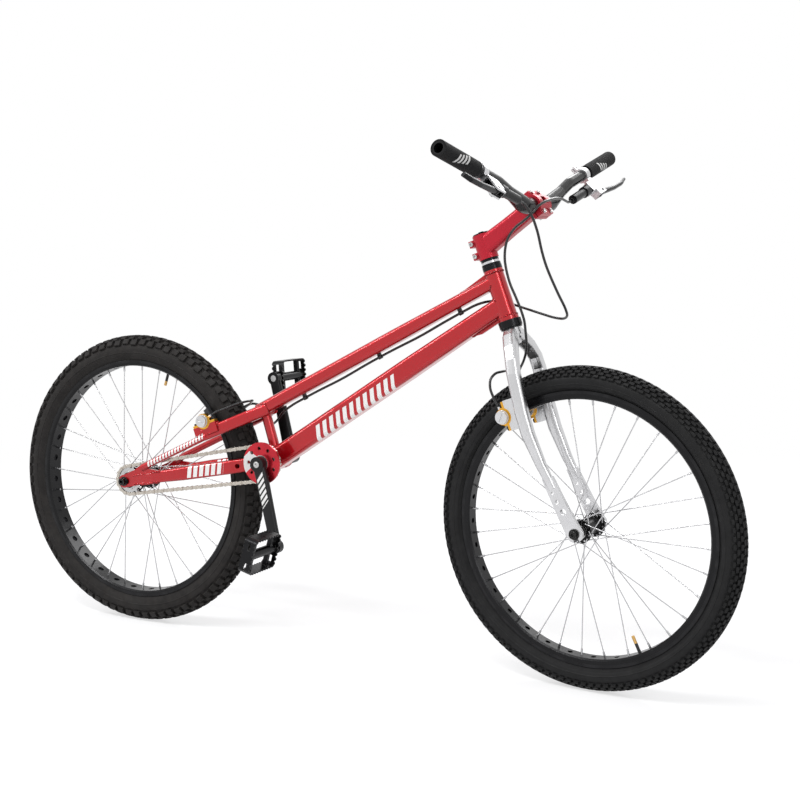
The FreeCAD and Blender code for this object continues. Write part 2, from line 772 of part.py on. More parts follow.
def brake_cradle(depth):
    """The block on a stay or fork blade that carries the brake clamp."""
    half = CLAMP_BOLT_OFFSET + 6
    return block(-half, half, CLAMP_INNER_Y, CLAMP_OUTER_Y, -depth, -CLAMP_SEAT)


def cradle_cuts():
    """The round seat of the brake clamp and its two threaded holes."""
    cuts = [disc_y(SLAVE_CLAMP_RADIUS + RUNNING, CLAMP_INNER_Y - 14, CLAMP_OUTER_Y + 14)]
    for spot in brake_bolt_spots(-CLAMP_SEAT - 13.5):
        cuts.append(cylinder(spot, spot + UP * 14, M5_RADIUS + RUNNING))
    return cuts


def frame_solid():
    top_stations = [
        (top_head, TOP_TUBE_WIDTH, TOP_TUBE_HEAD_DEPTH),
        (top_head + (top_rear - top_head) * FULL_DEPTH_AT, TOP_TUBE_WIDTH, TOP_TUBE_REAR_DEPTH),
        (top_rear, TOP_TUBE_WIDTH, TOP_TUBE_REAR_DEPTH),
    ]
    down_stations = [
        (down_head, TOP_TUBE_WIDTH, DOWN_TUBE_HEAD_DEPTH),
        (down_head + (bracket - down_head) * FULL_DEPTH_AT, DOWN_TUBE_WIDTH, 0.95 * DOWN_TUBE_REAR_DEPTH),
        (bracket, DOWN_TUBE_WIDTH, DOWN_TUBE_REAR_DEPTH),
    ]
    head_low = HEAD_FRAME.multVec(UP * HEAD_TUBE_LOW)
    head_high = HEAD_FRAME.multVec(UP * head_tube_top)
    solids = [
        lofted(top_stations),
        lofted(down_stations),
        cylinder(bracket + Vector(4, 0, 10), top_rear + Vector(10, 0, 2), SEAT_TUBE_RADIUS),
        disc_y(SHELL_RADIUS, -SHELL_HALF_WIDTH, SHELL_HALF_WIDTH, bracket),
        cylinder(head_low, head_high, HEAD_TUBE_RADIUS),
        cylinder(head_low, head_low + head_up * 8, HEAD_TUBE_RADIUS + 1.5),
        cylinder(head_high - head_up * 6, head_high, HEAD_TUBE_RADIUS + 0.5),
    ]
    half = GUSSET_THICKNESS / 2
    low_gusset = [(-15, 418), (-62, 407), (-92, 409), (-92, 425), (-15, 435)]
    high_gusset = [(-15, 514), (-42, 506.5), (-78, 496.5), (-78, 488), (-15, 496)]
    solids += [moved(plate_y(outline, -half, half), HEAD_FRAME) for outline in (low_gusset, high_gusset)]
    left = left_stays()
    solids += left + [mirrored(shape) for shape in left]
    left_cuts = stay_cuts()
    cuts = left_cuts + [mirrored(shape) for shape in left_cuts]
    cuts += [
        lofted(shortened(top_stations, TUBE_PLUG, TUBE_PLUG), inset=TUBE_WALL),
        lofted(shortened(down_stations, TUBE_PLUG, TUBE_PLUG + 8), inset=TUBE_WALL),
        disc_y(SHELL_BORE, -SHELL_HALF_WIDTH - 1, SHELL_HALF_WIDTH + 1, bracket),
        disc_y(SHELL_RADIUS, SHELL_HALF_WIDTH, SHELL_HALF_WIDTH + 10, bracket),
        disc_y(SHELL_RADIUS, -SHELL_HALF_WIDTH - 10, -SHELL_HALF_WIDTH, bracket),
        cylinder(head_low - head_up, head_high + head_up, HEAD_TUBE_BORE),
    ]
    return fuse(solids).cut(cuts)


def left_stays():
    """The left chainstay, seatstay, dropout and brake cradle."""
    chainstay = [
        (stay_point(335, 24), STAY_THICKNESS, CHAINSTAY_DEPTH + 1),
        (stay_point(300, 36), STAY_THICKNESS - 1, CHAINSTAY_DEPTH),
        (stay_point(268, 45.5), STAY_THICKNESS - 1, CHAINSTAY_DEPTH),
        (stay_point(150, 56), STAY_THICKNESS - 1, CHAINSTAY_DEPTH),
        (stay_point(75, 60), STAY_THICKNESS - 4, 24.0),
        (stay_point(20, 61), DROPOUT_THICKNESS, 22.0),
    ]
    seatstay = [
        (Vector(332, 11, 172), STAY_THICKNESS + 3, SEATSTAY_DEPTH),
        (Vector(300, 34, 156), STAY_THICKNESS + 1, SEATSTAY_DEPTH),
        (Vector(262, 46, 139), STAY_THICKNESS + 1, SEATSTAY_DEPTH),
        (Vector(203, 55, 114), STAY_THICKNESS, SEATSTAY_DEPTH),
    ]
    inner = REAR_HUB_WIDTH / 2
    outer = inner + DROPOUT_THICKNESS
    plate = [(-2, 13.5), (28, 27), (44, 38), (56, 33), (96, 30), (96, 8), (0, -DROPOUT_RADIUS)]
    return [
        lofted(chainstay),
        lofted(seatstay),
        cylinder(Vector(48, 61, 34), Vector(212, 55.5, 113), SLIM_STAY_RADIUS),
        plate_y(plate, inner, outer),
        disc_y(DROPOUT_RADIUS, inner, outer),
        along_stay(block(TENSIONER_X[0] - 8, TENSIONER_X[1] + 8, inner, outer, -TENSIONER_SEAT, 0)),
        moved(brake_cradle(30.0), REAR_BRAKE),
    ]


def stay_cuts():
    """What is cut from the left stays: the axle slot, the brake seat and the screw holes."""
    inner = REAR_HUB_WIDTH / 2
    outer = inner + DROPOUT_THICKNESS
    slot = AXLE_BOLT_RADIUS + GAP
    cuts = [
        block(-DROPOUT_RADIUS - 2, 8, inner - 6, outer + 6, -slot, slot),
        disc_y(slot, inner - 6, outer + 6, FORWARD * 8),
        disc_y(5.0, 20, 80, stay_point(283, 0)),
    ]
    cuts += [moved(shape, REAR_BRAKE) for shape in cradle_cuts()]
    for x in TENSIONER_X:
        low = Vector(x, (inner + outer) / 2, -TENSIONER_SEAT - 1)
        cuts.append(along_stay(cylinder(low, low + UP * 12, M5_RADIUS + RUNNING)))
    return cuts


# Rim brakes

def port_way(angle=PORT_ANGLE):
    return polar(1.0, math.radians(angle))


def slave_cylinder(port_ys):
    """The left brake cylinder with a hose union at each value of y."""
    shapes = [
        disc_y(SLAVE_RADIUS, SLAVE_INNER_Y, SLAVE_OUTER_Y),
        disc_y(SLAVE_RADIUS - 1.2, SLAVE_OUTER_Y, SLAVE_OUTER_Y + SLAVE_CAP),
    ]
    for y in port_ys:
        root = ALONG_Y * y + port_way() * 8
        shapes.append(cylinder(root, root + port_way() * (SLAVE_RADIUS - 3), UNION_RADIUS))
        shapes.append(cylinder(root, root + port_way() * (SLAVE_RADIUS + PORT_REACH - 8), 3.2))
    bore = disc_y(SLAVE_PISTON_RADIUS + RUNNING, SLAVE_INNER_Y - 1, SLAVE_OUTER_Y - 5)
    cap_face = SLAVE_OUTER_Y + SLAVE_CAP
    slot = block(-9, 9, cap_face - 1.5, cap_face + 1, -1.2, 1.2)
    return fuse(shapes).cut([bore, turned(slot, ALONG_Y, 40)])


def slave_clamp(port_ys):
    """The seat under the cylinder with a strap over it, an ear for each bolt and room for the unions."""
    y0, y1 = CLAMP_INNER_Y + 0.5, CLAMP_OUTER_Y - 0.5
    seat = disc_y(SLAVE_CLAMP_RADIUS, y0, y1).cut(block(-40, 40, y0 - 1, y1 + 1, 2, 40))
    ears = block(-CLAMP_BOLT_OFFSET - 5, CLAMP_BOLT_OFFSET + 5, y0, y1, -CLAMP_SEAT, -CLAMP_SEAT + 5)
    body = fuse([seat, ears, disc_y(SLAVE_STRAP_RADIUS, y0, y1)])
    body = body.cut(disc_y(SLAVE_RADIUS + RUNNING, y0 - 1, y1 + 1))
    for y in port_ys:
        foot = ALONG_Y * y + port_way() * 9
        body = body.cut(cylinder(foot, foot + port_way() * 20, UNION_RADIUS + GAP))
    for spot in brake_bolt_spots(-CLAMP_SEAT - 1):
        body = body.cut(cylinder(spot, spot + UP * 8, M5_RADIUS + RUNNING))
    return body


def slave_bolts():
    return [socket_bolt(spot, UP * -1, 16, M5_RADIUS, 4.2, 4.0) for spot in brake_bolt_spots(5 - CLAMP_SEAT)]


def brake_pad(slave, wheel_centre, track_y):
    """The left pad, its carrier, both shaped to the rim, and the piston behind them."""
    offset = slave - wheel_centre
    angle = math.degrees(math.atan2(offset.z, offset.x))
    face_y = track_y + PAD_GAP
    back_y = face_y + PAD_THICKNESS
    outer = FLANGE_RADIUS - GAP
    inner = outer - PAD_HEIGHT
    span = math.degrees(PAD_LENGTH / FLANGE_RADIUS)
    pad = [(inner, face_y), (outer, face_y), (outer, back_y), (inner, back_y)]
    carrier = [
        (inner - 2, back_y - 3), (inner, back_y - 3), (inner, back_y),
        (outer, back_y), (outer, back_y + 3), (inner - 2, back_y + 3),
    ]
    curved = [turned(revolved_y(outline, span), ALONG_Y, -angle - span / 2) for outline in (pad, carrier)]
    piston = disc_y(SLAVE_PISTON_RADIUS, back_y + 3, SLAVE_INNER_Y + 12, slave)
    return [shifted(shape, wheel_centre) for shape in curved] + [piston]


def make_brake(prefix, bolt_node, place, brake, track_y, wheel_centre):
    """Both sides of a rim brake; the main hose enters the left cylinder."""
    for side, flip in (("right", mirrored), ("left", unchanged)):
        ports = [CROSSOVER_PORT_Y] + ([MAIN_PORT_Y] if side == "left" else [])

        def fitted(shape):
            return moved(flip(moved(shape, brake)), place)

        node(prefix + "_brake_cylinders", fitted(slave_cylinder(ports)))
        node(prefix + "_brake_clamps", fitted(slave_clamp(ports)))
        node(bolt_node, *[fitted(bolt) for bolt in slave_bolts()])
        pad = brake_pad(brake.Base, wheel_centre, track_y)
        node(prefix + "_brake_pad_" + side, *[moved(flip(shape), place) for shape in pad])


def port_point(brake, y, extra=0.0):
    """On a hose union's axis of the left cylinder, past its end by extra."""
    return brake.multVec(port_way() * (SLAVE_RADIUS + PORT_REACH + extra) + ALONG_Y * y)


# Build: frame, headset and bottom bracket

node("frame", frame_solid())

lower_face = HEAD_TUBE_LOW - LOWER_CUP_HEIGHT
lower_bearing_top = HEAD_TUBE_LOW - 5.0
upper_bearing_low = head_tube_top + 2.0
upper_cup_top = head_tube_top + UPPER_CUP_HEIGHT
skirt_radius = HEAD_TUBE_BORE - RUNNING
skirt_bore = STEERER_RADIUS + 0.6
lower_seat = LOWER_BEARING_RADIUS + RUNNING
upper_seat = UPPER_BEARING_RADIUS + RUNNING
lower_cup = revolved_z([
    (lower_seat, lower_face), (LOWER_CUP_RADIUS, lower_face), (LOWER_CUP_RADIUS, HEAD_TUBE_LOW),
    (skirt_radius, HEAD_TUBE_LOW), (skirt_radius, HEAD_TUBE_LOW + CUP_SKIRT),
    (skirt_bore, HEAD_TUBE_LOW + CUP_SKIRT), (skirt_bore, lower_bearing_top), (lower_seat, lower_bearing_top),
])
upper_cup = revolved_z([
    (upper_seat, upper_cup_top), (UPPER_CUP_RADIUS, upper_cup_top), (UPPER_CUP_RADIUS, head_tube_top),
    (skirt_radius, head_tube_top), (skirt_radius, head_tube_top - CUP_SKIRT),
    (skirt_bore, head_tube_top - CUP_SKIRT), (skirt_bore, upper_bearing_low), (upper_seat, upper_bearing_low),
])
race_bore = RACE_RADIUS + RUNNING
lower_bearing = ring_z(LOWER_BEARING_RADIUS, race_bore, lower_face + 1.0, lower_bearing_top)
upper_bearing = ring_z(UPPER_BEARING_RADIUS, race_bore, upper_bearing_low, upper_cup_top - 0.6)
node("headset_cups", moved(lower_cup, HEAD_FRAME), moved(upper_cup, HEAD_FRAME))
node("frame_bearings", moved(lower_bearing, HEAD_FRAME), moved(upper_bearing, HEAD_FRAME))

cup_outer = SHELL_BORE - RUNNING
cup_face = SHELL_HALF_WIDTH + CUP_FLANGE
bracket_seat = BRACKET_BEARING_RADIUS + RUNNING
seat_low = SHELL_HALF_WIDTH - BRACKET_BEARING_WIDTH
bracket_cup = revolved_y([
    (cup_outer, seat_low - 9), (cup_outer, SHELL_HALF_WIDTH), (SHELL_RADIUS - 1, SHELL_HALF_WIDTH),
    (SHELL_RADIUS - 1, cup_face), (CRANK_AXLE_RADIUS + 1, cup_face),
    (CRANK_AXLE_RADIUS + 1, SHELL_HALF_WIDTH + RUNNING), (bracket_seat, SHELL_HALF_WIDTH + RUNNING),
    (bracket_seat, seat_low), (BRACKET_BEARING_RADIUS - 2, seat_low), (BRACKET_BEARING_RADIUS - 2, seat_low - 9),
])
bracket_bearing = bearing(CRANK_AXLE_RADIUS + RUNNING, BRACKET_BEARING_RADIUS, seat_low, SHELL_HALF_WIDTH)
for name, piece in (("bottom_bracket_cups", bracket_cup), ("frame_bearings", bracket_bearing)):
    node(name, shifted(piece, bracket), shifted(mirrored(piece), bracket))

for x in TENSIONER_X:
    seat = Vector(x, (REAR_HUB_WIDTH + DROPOUT_THICKNESS) / 2, -TENSIONER_SEAT)
    screw = along_stay(socket_bolt(seat, UP, 10, M5_RADIUS, 4.5, 4.0))
    node("frame_bolts", screw, mirrored(screw))

# Build: rear wheel, axle, fixed sprocket and chain

make_wheel(
    "rear", Placement(), REAR_TYRE_RADIUS, REAR_TYRE_SECTION, REAR_RIM_WIDTH, REAR_RIM_BED,
    REAR_FLANGE_RADIUS, REAR_FLANGE_Y, REAR_HUB_DRIVE_Y, REAR_VALVE_SLOT, REAR_RIM_HOLE,
)
make_axle("rear_axle", Placement(), REAR_HUB_WIDTH / 2, DROPOUT_THICKNESS, REAR_HUB_DRIVE_Y, 8.0)
chain_plane = ALONG_Y * -CHAIN_LINE
tooth_half = TOOTH_WIDTH / 2
hub_thread = HUB_BOSS_RADIUS + RUNNING
rear_driver = sprocket(
    REAR_TEETH, hub_thread, 23.0, -tooth_half, 4.0, math.pi - rear_leave + drive_angle
)
lockring = ring_y(20.5, hub_thread, -tooth_half - 1.5, -tooth_half)
notches = [turned(block(18.8, 22, -9, 9, -1.5, 1.5), ALONG_Y, 60 * index) for index in range(6)]
node("rear_sprocket", shifted(rear_driver, chain_plane), shifted(lockring.cut(notches), chain_plane))
make_chain()

# Build: cranks, freewheel, bash ring and pedals

crank_way = polar(1.0, math.radians(CRANK_ANGLE))
crank_inner = CRANK_HUB_Y - CRANK_THICKNESS / 2
crank_face = CRANK_HUB_Y + CRANK_THICKNESS / 2 + 1.0
axle_end = crank_face - 7.0
eye_inner = CRANK_EYE_Y - 7.0
eye_outer = CRANK_EYE_Y + 7.0


def crank(way, carries_freewheel):
    """A crank on the +Y side, pointing along way."""
    eye = way * CRANK_LENGTH
    stations = [
        (way * 2 + ALONG_Y * CRANK_HUB_Y, CRANK_THICKNESS, 27.0),
        (way * 30 + ALONG_Y * (CRANK_HUB_Y + 0.5), CRANK_THICKNESS, 27.5),
        (way * 140 + ALONG_Y * (CRANK_EYE_Y - 2), CRANK_THICKNESS - 1, 24.5),
        (way * (CRANK_LENGTH - 3) + ALONG_Y * CRANK_EYE_Y, CRANK_THICKNESS - 1, 24.0),
    ]
    solids = [
        lofted(stations),
        disc_y(CRANK_BOSS_RADIUS, crank_inner, crank_face),
        disc_y(CRANK_EYE_RADIUS, eye_inner, eye_outer, eye),
    ]
    if carries_freewheel:
        solids.append(disc_y(CRANK_CARRIER_RADIUS, cup_face + 2.5, crank_inner + 1))
    return fuse(solids).cut([
        disc_y(CRANK_AXLE_RADIUS + RUNNING, 0, axle_end),
        disc_y(CRANK_BOLT_RADIUS + RUNNING, axle_end - 1, crank_face + 1),
        disc_y(8.0, crank_face - 3, crank_face + 1),
        disc_y(PEDAL_THREAD_RADIUS + RUNNING, eye_inner - 1, eye_outer + 1, eye),
    ])


node("crank_right", shifted(mirrored(crank(crank_way, True)), bracket))
node("crank_left", shifted(crank(crank_way * -1, False), bracket))

bolt_bores = [disc_y(CRANK_BOLT_RADIUS + RUNNING, side * 38, side * 80) for side in (-1, 1)]
node("crank_axle", shifted(disc_y(CRANK_AXLE_RADIUS, -axle_end, axle_end).cut(bolt_bores), bracket))
for side in (-1, 1):
    seat = bracket + ALONG_Y * (side * (crank_face - 3))
    node("crank_axle", socket_bolt(seat, ALONG_Y * -side, 24, CRANK_BOLT_RADIUS, 6.5, 4.0))
left_spacer = ring_y(12.0, CRANK_AXLE_RADIUS + RUNNING, cup_face + GAP, crank_inner)
node("crank_axle", shifted(left_spacer, bracket))

carrier_bore = CRANK_CARRIER_RADIUS + RUNNING
core_inner_y = CHAIN_LINE - 5.0
core_outer_y = CHAIN_LINE + 5.0
bash_inner_y = core_outer_y + 1.0
bash_outer_y = bash_inner_y + BASH_RING_THICKNESS
core = ring_y(FREEWHEEL_CORE_RADIUS, carrier_bore, -core_outer_y, -core_inner_y)
pawl_pocket = block(FREEWHEEL_CORE_RADIUS - 3, FREEWHEEL_CORE_RADIUS + 1, -CHAIN_LINE - 2, -CHAIN_LINE + 2, -4, 4)
core = core.cut([turned(pawl_pocket, ALONG_Y, 120 * index) for index in range(3)])
core_spacer = ring_y(19.0, carrier_bore, -bash_inner_y, -core_outer_y)
arm_spacer = ring_y(17.0, carrier_bore, -crank_inner, -bash_outer_y)
node("freewheel_core", *[shifted(piece, bracket) for piece in (core, core_spacer, arm_spacer)])
driver = sprocket(
    FRONT_TEETH, FREEWHEEL_CORE_RADIUS + RUNNING, 29.0, -3.5, 4.5, front_leave + drive_angle
)
node("freewheel_sprocket", shifted(driver, bracket + chain_plane))
bash_ring = ring_y(BASH_RING_RADIUS, carrier_bore, -bash_outer_y, -bash_inner_y)
bash_holes = []
for index in range(BASH_RING_HOLES):
    middle = polar(31, 2 * math.pi * (index + 0.5) / BASH_RING_HOLES)
    bash_holes.append(disc_y(3.8, -bash_outer_y - 1, -bash_inner_y + 1, middle))
node("bash_ring", shifted(bash_ring.cut(bash_holes), bracket))

pedal_start = eye_outer + 6.0
pedal_end = pedal_start + PEDAL_LENGTH


def pedal_notches():
    """Grooves across both edges of the cage that leave a row of teeth."""
    half_notch = 3.6
    notches = []
    for side in (-1, 1):
        root = side * (PEDAL_HALF_DEPTH - 3.5)
        edge = side * (PEDAL_HALF_DEPTH + 0.5)
        for index in range(9):
            y = pedal_start + 12 + index * (PEDAL_LENGTH - 24) / 8
            corners = [Vector(root, y, -60), Vector(edge, y - half_notch, -60), Vector(edge, y + half_notch, -60)]
            notches.append(prism(corners, UP * 120))
        for index in range(6):
            y = pedal_start - 1
            z = 11 - PEDAL_REACH + index * (2 * PEDAL_REACH - 22) / 5
            corners = [Vector(root, y, z), Vector(edge, y, z - half_notch), Vector(edge, y, z + half_notch)]
            notches.append(prism(corners, ALONG_Y * (PEDAL_LENGTH + 2)))
    return notches


def pedal_body():
    """A pedal on the +Y side with its long plates above and below the spindle."""
    middle = Vector(-PEDAL_HALF_DEPTH, (pedal_start + pedal_end) / 2, 0)
    through = FORWARD * (2 * PEDAL_HALF_DEPTH)
    strip = 2 * PEDAL_STRIP
    outer = rounded_section(middle, FORWARD, ALONG_Y, PEDAL_LENGTH, 2 * PEDAL_REACH, 12)
    inner = rounded_section(middle, FORWARD, ALONG_Y, PEDAL_LENGTH - strip, 2 * PEDAL_REACH - strip, 9)
    cage = Part.Face(outer).extrude(through).cut(Part.Face(inner).extrude(through))
    slots = []
    for z in (-21, 21):
        slots.append(block(-3, 3, pedal_end - 5, pedal_end + 1, z - 8, z + 8))
        slots.append(block(-4, 4, pedal_start - 1, pedal_start + 5, z - 7, z + 7))
    solids = [cage.cut(pedal_notches() + slots), disc_y(PEDAL_BARREL_RADIUS, pedal_start - 2, pedal_end - 0.5)]
    for y in (pedal_start + 17, pedal_end - 17):
        solids.append(block(-5, 5, y - 3.5, y + 3.5, 1 - PEDAL_REACH, PEDAL_REACH - 1))
    return fuse(solids).cut(disc_y(SPINDLE_RADIUS + RUNNING, pedal_start - 3, pedal_end - 8))


pedal = pedal_body()
spindle = fuse([
    disc_y(PEDAL_THREAD_RADIUS, eye_inner + 1, eye_outer + GAP),
    disc_y(8.8, eye_outer, eye_outer + 3.6),
    disc_y(SPINDLE_RADIUS, eye_outer, pedal_end - 10),
])
right_eye = bracket + crank_way * CRANK_LENGTH
left_eye = bracket - crank_way * CRANK_LENGTH
node("pedal_right", shifted(turned(mirrored(pedal), ALONG_Y, NEAR_PEDAL_TILT), right_eye))
node("pedal_left", shifted(turned(pedal, ALONG_Y, FAR_PEDAL_TILT), left_eye))
node("pedal_axles", shifted(mirrored(spindle), right_eye), shifted(spindle, left_eye))

# Build: fork and headset stack, in the head axis frame


def fork_blade():
    """The left blade with its dropout and brake cradle."""
    stations = [(Vector(p, y, height), depth, across) for height, p, y, across, depth in FORK_STATIONS]
    inner = FORK_DROPOUT_INNER_Y
    outer = inner + FORK_DROPOUT_THICKNESS
    edge = FORK_END_RADIUS
    slot = AXLE_BOLT_RADIUS + GAP
    hub = FORWARD * FORK_RAKE
    plate = [(-8, 112), (14, 112), (26, 45), (FORK_RAKE + edge, 0), (FORK_RAKE - edge, 0), (-1, 45)]
    body = [
        lofted(stations, side=FORWARD),
        plate_y(plate, inner, outer),
        disc_y(edge, inner, outer, hub),
        moved(brake_cradle(34.0), FRONT_BRAKE),
    ]
    cuts = [
        block(FORK_RAKE - slot, FORK_RAKE + slot, inner - 6, outer + 6, -edge - 2, 0),
        disc_y(slot, inner - 6, outer + 6, hub),
    ]
    cuts += [moved(shape, FRONT_BRAKE) for shape in cradle_cuts()]
    for height, p, radius in FORK_HOLES:
        cuts.append(disc_y(radius, inner - 8, outer + 8, Vector(p, 0, height)))
    return fuse(body).cut(cuts)


blade = fork_blade().cut(block(-60, 60, -90, 90, CROWN_TOP, CROWN_TOP + 40))
steerer = disc_z(STEERER_RADIUS, CROWN_TOP - 18, STEERER_TOP)
crown = disc_z(CROWN_RADIUS, CROWN_TOP - 14, CROWN_TOP)
fork = fuse([steerer, crown, blade, mirrored(blade)])
fork = fork.cut(disc_z(STEERER_RADIUS - STEERER_WALL, CROWN_TOP - 30, STEERER_TOP + 1))
node("fork", moved(fork, STEERED))

steerer_bore = STEERER_RADIUS + RUNNING
cover_top = upper_cup_top + 5.0
spacer_middle = (cover_top + STEM_LOW) / 2
crown_race = fuse([
    ring_z(21.0, steerer_bore, CROWN_TOP, lower_face - GAP),
    ring_z(RACE_RADIUS, steerer_bore, CROWN_TOP, lower_bearing_top - 1),
])
top_race = fuse([
    ring_z(UPPER_CUP_RADIUS - GAP, steerer_bore, upper_cup_top + GAP, cover_top),
    ring_z(RACE_RADIUS, steerer_bore, upper_bearing_low + 1, cover_top),
])
stack = [
    crown_race,
    top_race,
    ring_z(17.5, steerer_bore, cover_top, spacer_middle),
    ring_z(17.5, steerer_bore, spacer_middle, STEM_LOW),
    ring_z(CAP_RADIUS, 3.05, STEM_TOP, STEM_TOP + 2.5),
    ring_z(STEERER_RADIUS - STEERER_WALL - RUNNING, 3.05, STEM_TOP - 22, STEM_TOP - 17),
    socket_bolt(UP * (STEM_TOP + 2.5), UP * -1, 26, 3.0, 5.5, 3.0),
]
node("headset_spacers", *[moved(piece, STEERED) for piece in stack])

# Build: front wheel and axle

wheel_centre = FORWARD * FORK_RAKE
FRONT_PLACE = STEERED.multiply(Placement(wheel_centre, Rotation()))
make_wheel(
    "front", FRONT_PLACE, FRONT_TYRE_RADIUS, FRONT_TYRE_SECTION, FRONT_RIM_WIDTH, FRONT_RIM_BED,
    FRONT_FLANGE_RADIUS, FRONT_FLANGE_Y, HUB_END_Y, FRONT_VALVE_SLOT, FRONT_RIM_HOLE,
)
make_axle("front_axle", FRONT_PLACE, FRONT_HUB_WIDTH / 2, FORK_DROPOUT_THICKNESS, HUB_END_Y, 6.0)

# Build: stem and handlebar

bar_centre = Vector(BAR_FORWARD, 0, BAR_HEIGHT)
bar_rise = Vector(math.sin(math.radians(BAR_ROLL)), 0, math.cos(math.radians(BAR_ROLL)))
stem_middle = UP * ((STEM_LOW + STEM_TOP) / 2)
stem_way = (bar_centre - stem_middle).normalize()
stem_turn = math.degrees(math.atan2(stem_way.z, stem_way.x))
stem_across = Vector(-stem_way.z, 0, stem_way.x)
clamp_bolt_rise = BAR_CENTRE_RADIUS + 5.6


def at_bar(shape):
    """Carries a shape built level at the origin to the handlebar clamp, turned to the stem's slope."""
    return shifted(turned(shape, ALONG_Y, -stem_turn), bar_centre)


def bar_point(y, rise):
    return bar_centre + ALONG_Y * y + bar_rise * rise


def bar_clamp_block():
    """The whole handlebar clamp before it is split."""
    half = BAR_CLAMP_HALF_WIDTH
    lug = clamp_bolt_rise + 4.5
    return at_bar(fuse([disc_y(BAR_CLAMP_RADIUS, -half, half), block(-7, 12, -half, half, -lug, lug)]))


def clamp_bolt_seats(depth):
    seats = []
    for y in (-14.0, 14.0):
        for rise in (-clamp_bolt_rise, clamp_bolt_rise):
            seats.append(bar_centre + ALONG_Y * y + stem_across * rise + stem_way * depth)
    return seats


def stem_solid():
    start = stem_middle + stem_way * 4
    finish = bar_centre - stem_way * 12
    arm_stations = [
        (start, 34.0, 40.0),
        (start + (finish - start) * 0.5, 32.0, 36.0),
        (finish, 38.0, 33.0),
    ]
    hole = M5_RADIUS + RUNNING
    ears = [block(-27, 0, -11, 11, height - 6.5, height + 6.5) for height in STEM_BOLT_HEIGHTS]
    rear_half = bar_clamp_block().common(at_bar(block(-60, -CLAMP_SPLIT, -60, 60, -60, 60)))
    cuts = [
        disc_z(STEERER_RADIUS + RUNNING, STEM_LOW - 10, STEM_TOP + 30),
        disc_z(CAP_RADIUS + GAP, STEM_TOP, STEM_TOP + 20),
        block(-40, -STEERER_RADIUS + 2, -1.2, 1.2, STEM_LOW - 1, STEM_TOP + 1),
        disc_y(BAR_CENTRE_RADIUS + RUNNING, -60, 60, bar_centre),
        at_bar(block(-CLAMP_SPLIT, 60, -60, 60, -60, 60)),
    ]
    cuts += [disc_y(hole, -30, 30, Vector(STEM_BOLT_P, 0, height)) for height in STEM_BOLT_HEIGHTS]
    cuts += [cylinder(seat, seat - stem_way * 20, hole) for seat in clamp_bolt_seats(4.0)]
    return fuse([disc_z(STEM_CLAMP_RADIUS, STEM_LOW, STEM_TOP), lofted(arm_stations), rear_half] + ears).cut(cuts)


def faceplate_solid():
    front_half = bar_clamp_block().common(at_bar(block(CLAMP_SPLIT, 60, -60, 60, -60, 60)))
    cuts = [disc_y(BAR_CENTRE_RADIUS + RUNNING, -60, 60, bar_centre)]
    cuts += [cylinder(seat, seat + stem_way * 30, M5_RADIUS + RUNNING) for seat in clamp_bolt_seats(-1.0)]
    cuts.append(at_bar(block(0, 40, -9, 9, -8, 8)))
    return front_half.cut(cuts)


node("stem", moved(stem_solid(), STEERED))
node("stem_faceplate", moved(faceplate_solid(), STEERED))
for height in STEM_BOLT_HEIGHTS:
    bolt = socket_bolt(Vector(STEM_BOLT_P, -11, height), ALONG_Y, 21, M5_RADIUS, 4.5, 4.5)
    node("stem_bolts", moved(bolt, STEERED))
for seat in clamp_bolt_seats(12.0):
    node("stem_bolts", moved(socket_bolt(seat, stem_way * -1, 26, M5_RADIUS, 4.0, 4.0), STEERED))

bar_first = bar_point(BAR_FIRST_BEND_Y, 0)
bar_second = bar_point(BAR_SECOND_BEND_Y, BAR_SECOND_BEND_RISE)
bar_end = bar_point(BAR_END_Y, BAR_END_RISE)
bar_rising = (bar_second - bar_first).normalize()
bar_outward = (bar_end - bar_second).normalize()


def bar_half(inset):
    """The left half of the handlebar as a solid bar, thinner by inset."""
    thick = BAR_CENTRE_RADIUS - inset
    thin = BAR_RADIUS - inset
    overrun = 1.0 if inset else 0.0
    first_setback = BAR_BEND_RADIUS * math.tan(ALONG_Y.getAngle(bar_rising) / 2)
    second_setback = BAR_BEND_RADIUS * math.tan(bar_rising.getAngle(bar_outward) / 2)
    first_start = bar_first - ALONG_Y * first_setback
    first_end = bar_first + bar_rising * first_setback
    taper_end = first_end + bar_rising * BAR_TAPER_LENGTH
    second_start = bar_second - bar_rising * second_setback
    second_end = bar_second + bar_outward * second_setback
    first_arc = arc_through(first_start, bar_first, first_end)[0]
    second_arc = arc_through(second_start, bar_second, second_end)[0]
    return fuse([
        cylinder(bar_centre, first_start, thick),
        piped(Part.Wire([first_arc]), first_start, ALONG_Y, thick),
        Part.makeCone(thick, thin, BAR_TAPER_LENGTH, first_end, bar_rising),
        cylinder(taper_end, second_start, thin),
        piped(Part.Wire([second_arc]), second_start, bar_rising, thin),
        cylinder(second_end, bar_end + bar_outward * overrun, thin),
    ])


half_bar = bar_half(0.0).cut(bar_half(BAR_WALL))
node("handlebar", moved(fuse([half_bar, mirrored(half_bar)]), STEERED))
grip = tube(bar_end - bar_outward * GRIP_LENGTH, bar_end, GRIP_RADIUS, BAR_RADIUS + RUNNING)
node("grips", moved(grip, STEERED), moved(mirrored(grip), STEERED))

# Build: brake levers. In the lever's frame X runs out along the bar and Z points up to the bar

lever_foot = bar_second + bar_outward * ((LEVER_Y - BAR_SECOND_BEND_Y) / bar_outward.y)
lever_down = Vector(math.sin(math.radians(LEVER_TILT)), 0, -math.cos(math.radians(LEVER_TILT)))
lever_down = (lever_down - bar_outward * lever_down.dot(bar_outward)).normalize()
lever_up = lever_down * -1
LEVER = Placement(lever_foot, Rotation(bar_outward, lever_up.cross(bar_outward), lever_up, "ZXY"))
pivot = UP * (-LEVER_DROP - LEVER_ARM)
master_end = -MASTER_START - MASTER_LENGTH
ring_half = 8.0
ear_z = 19.3

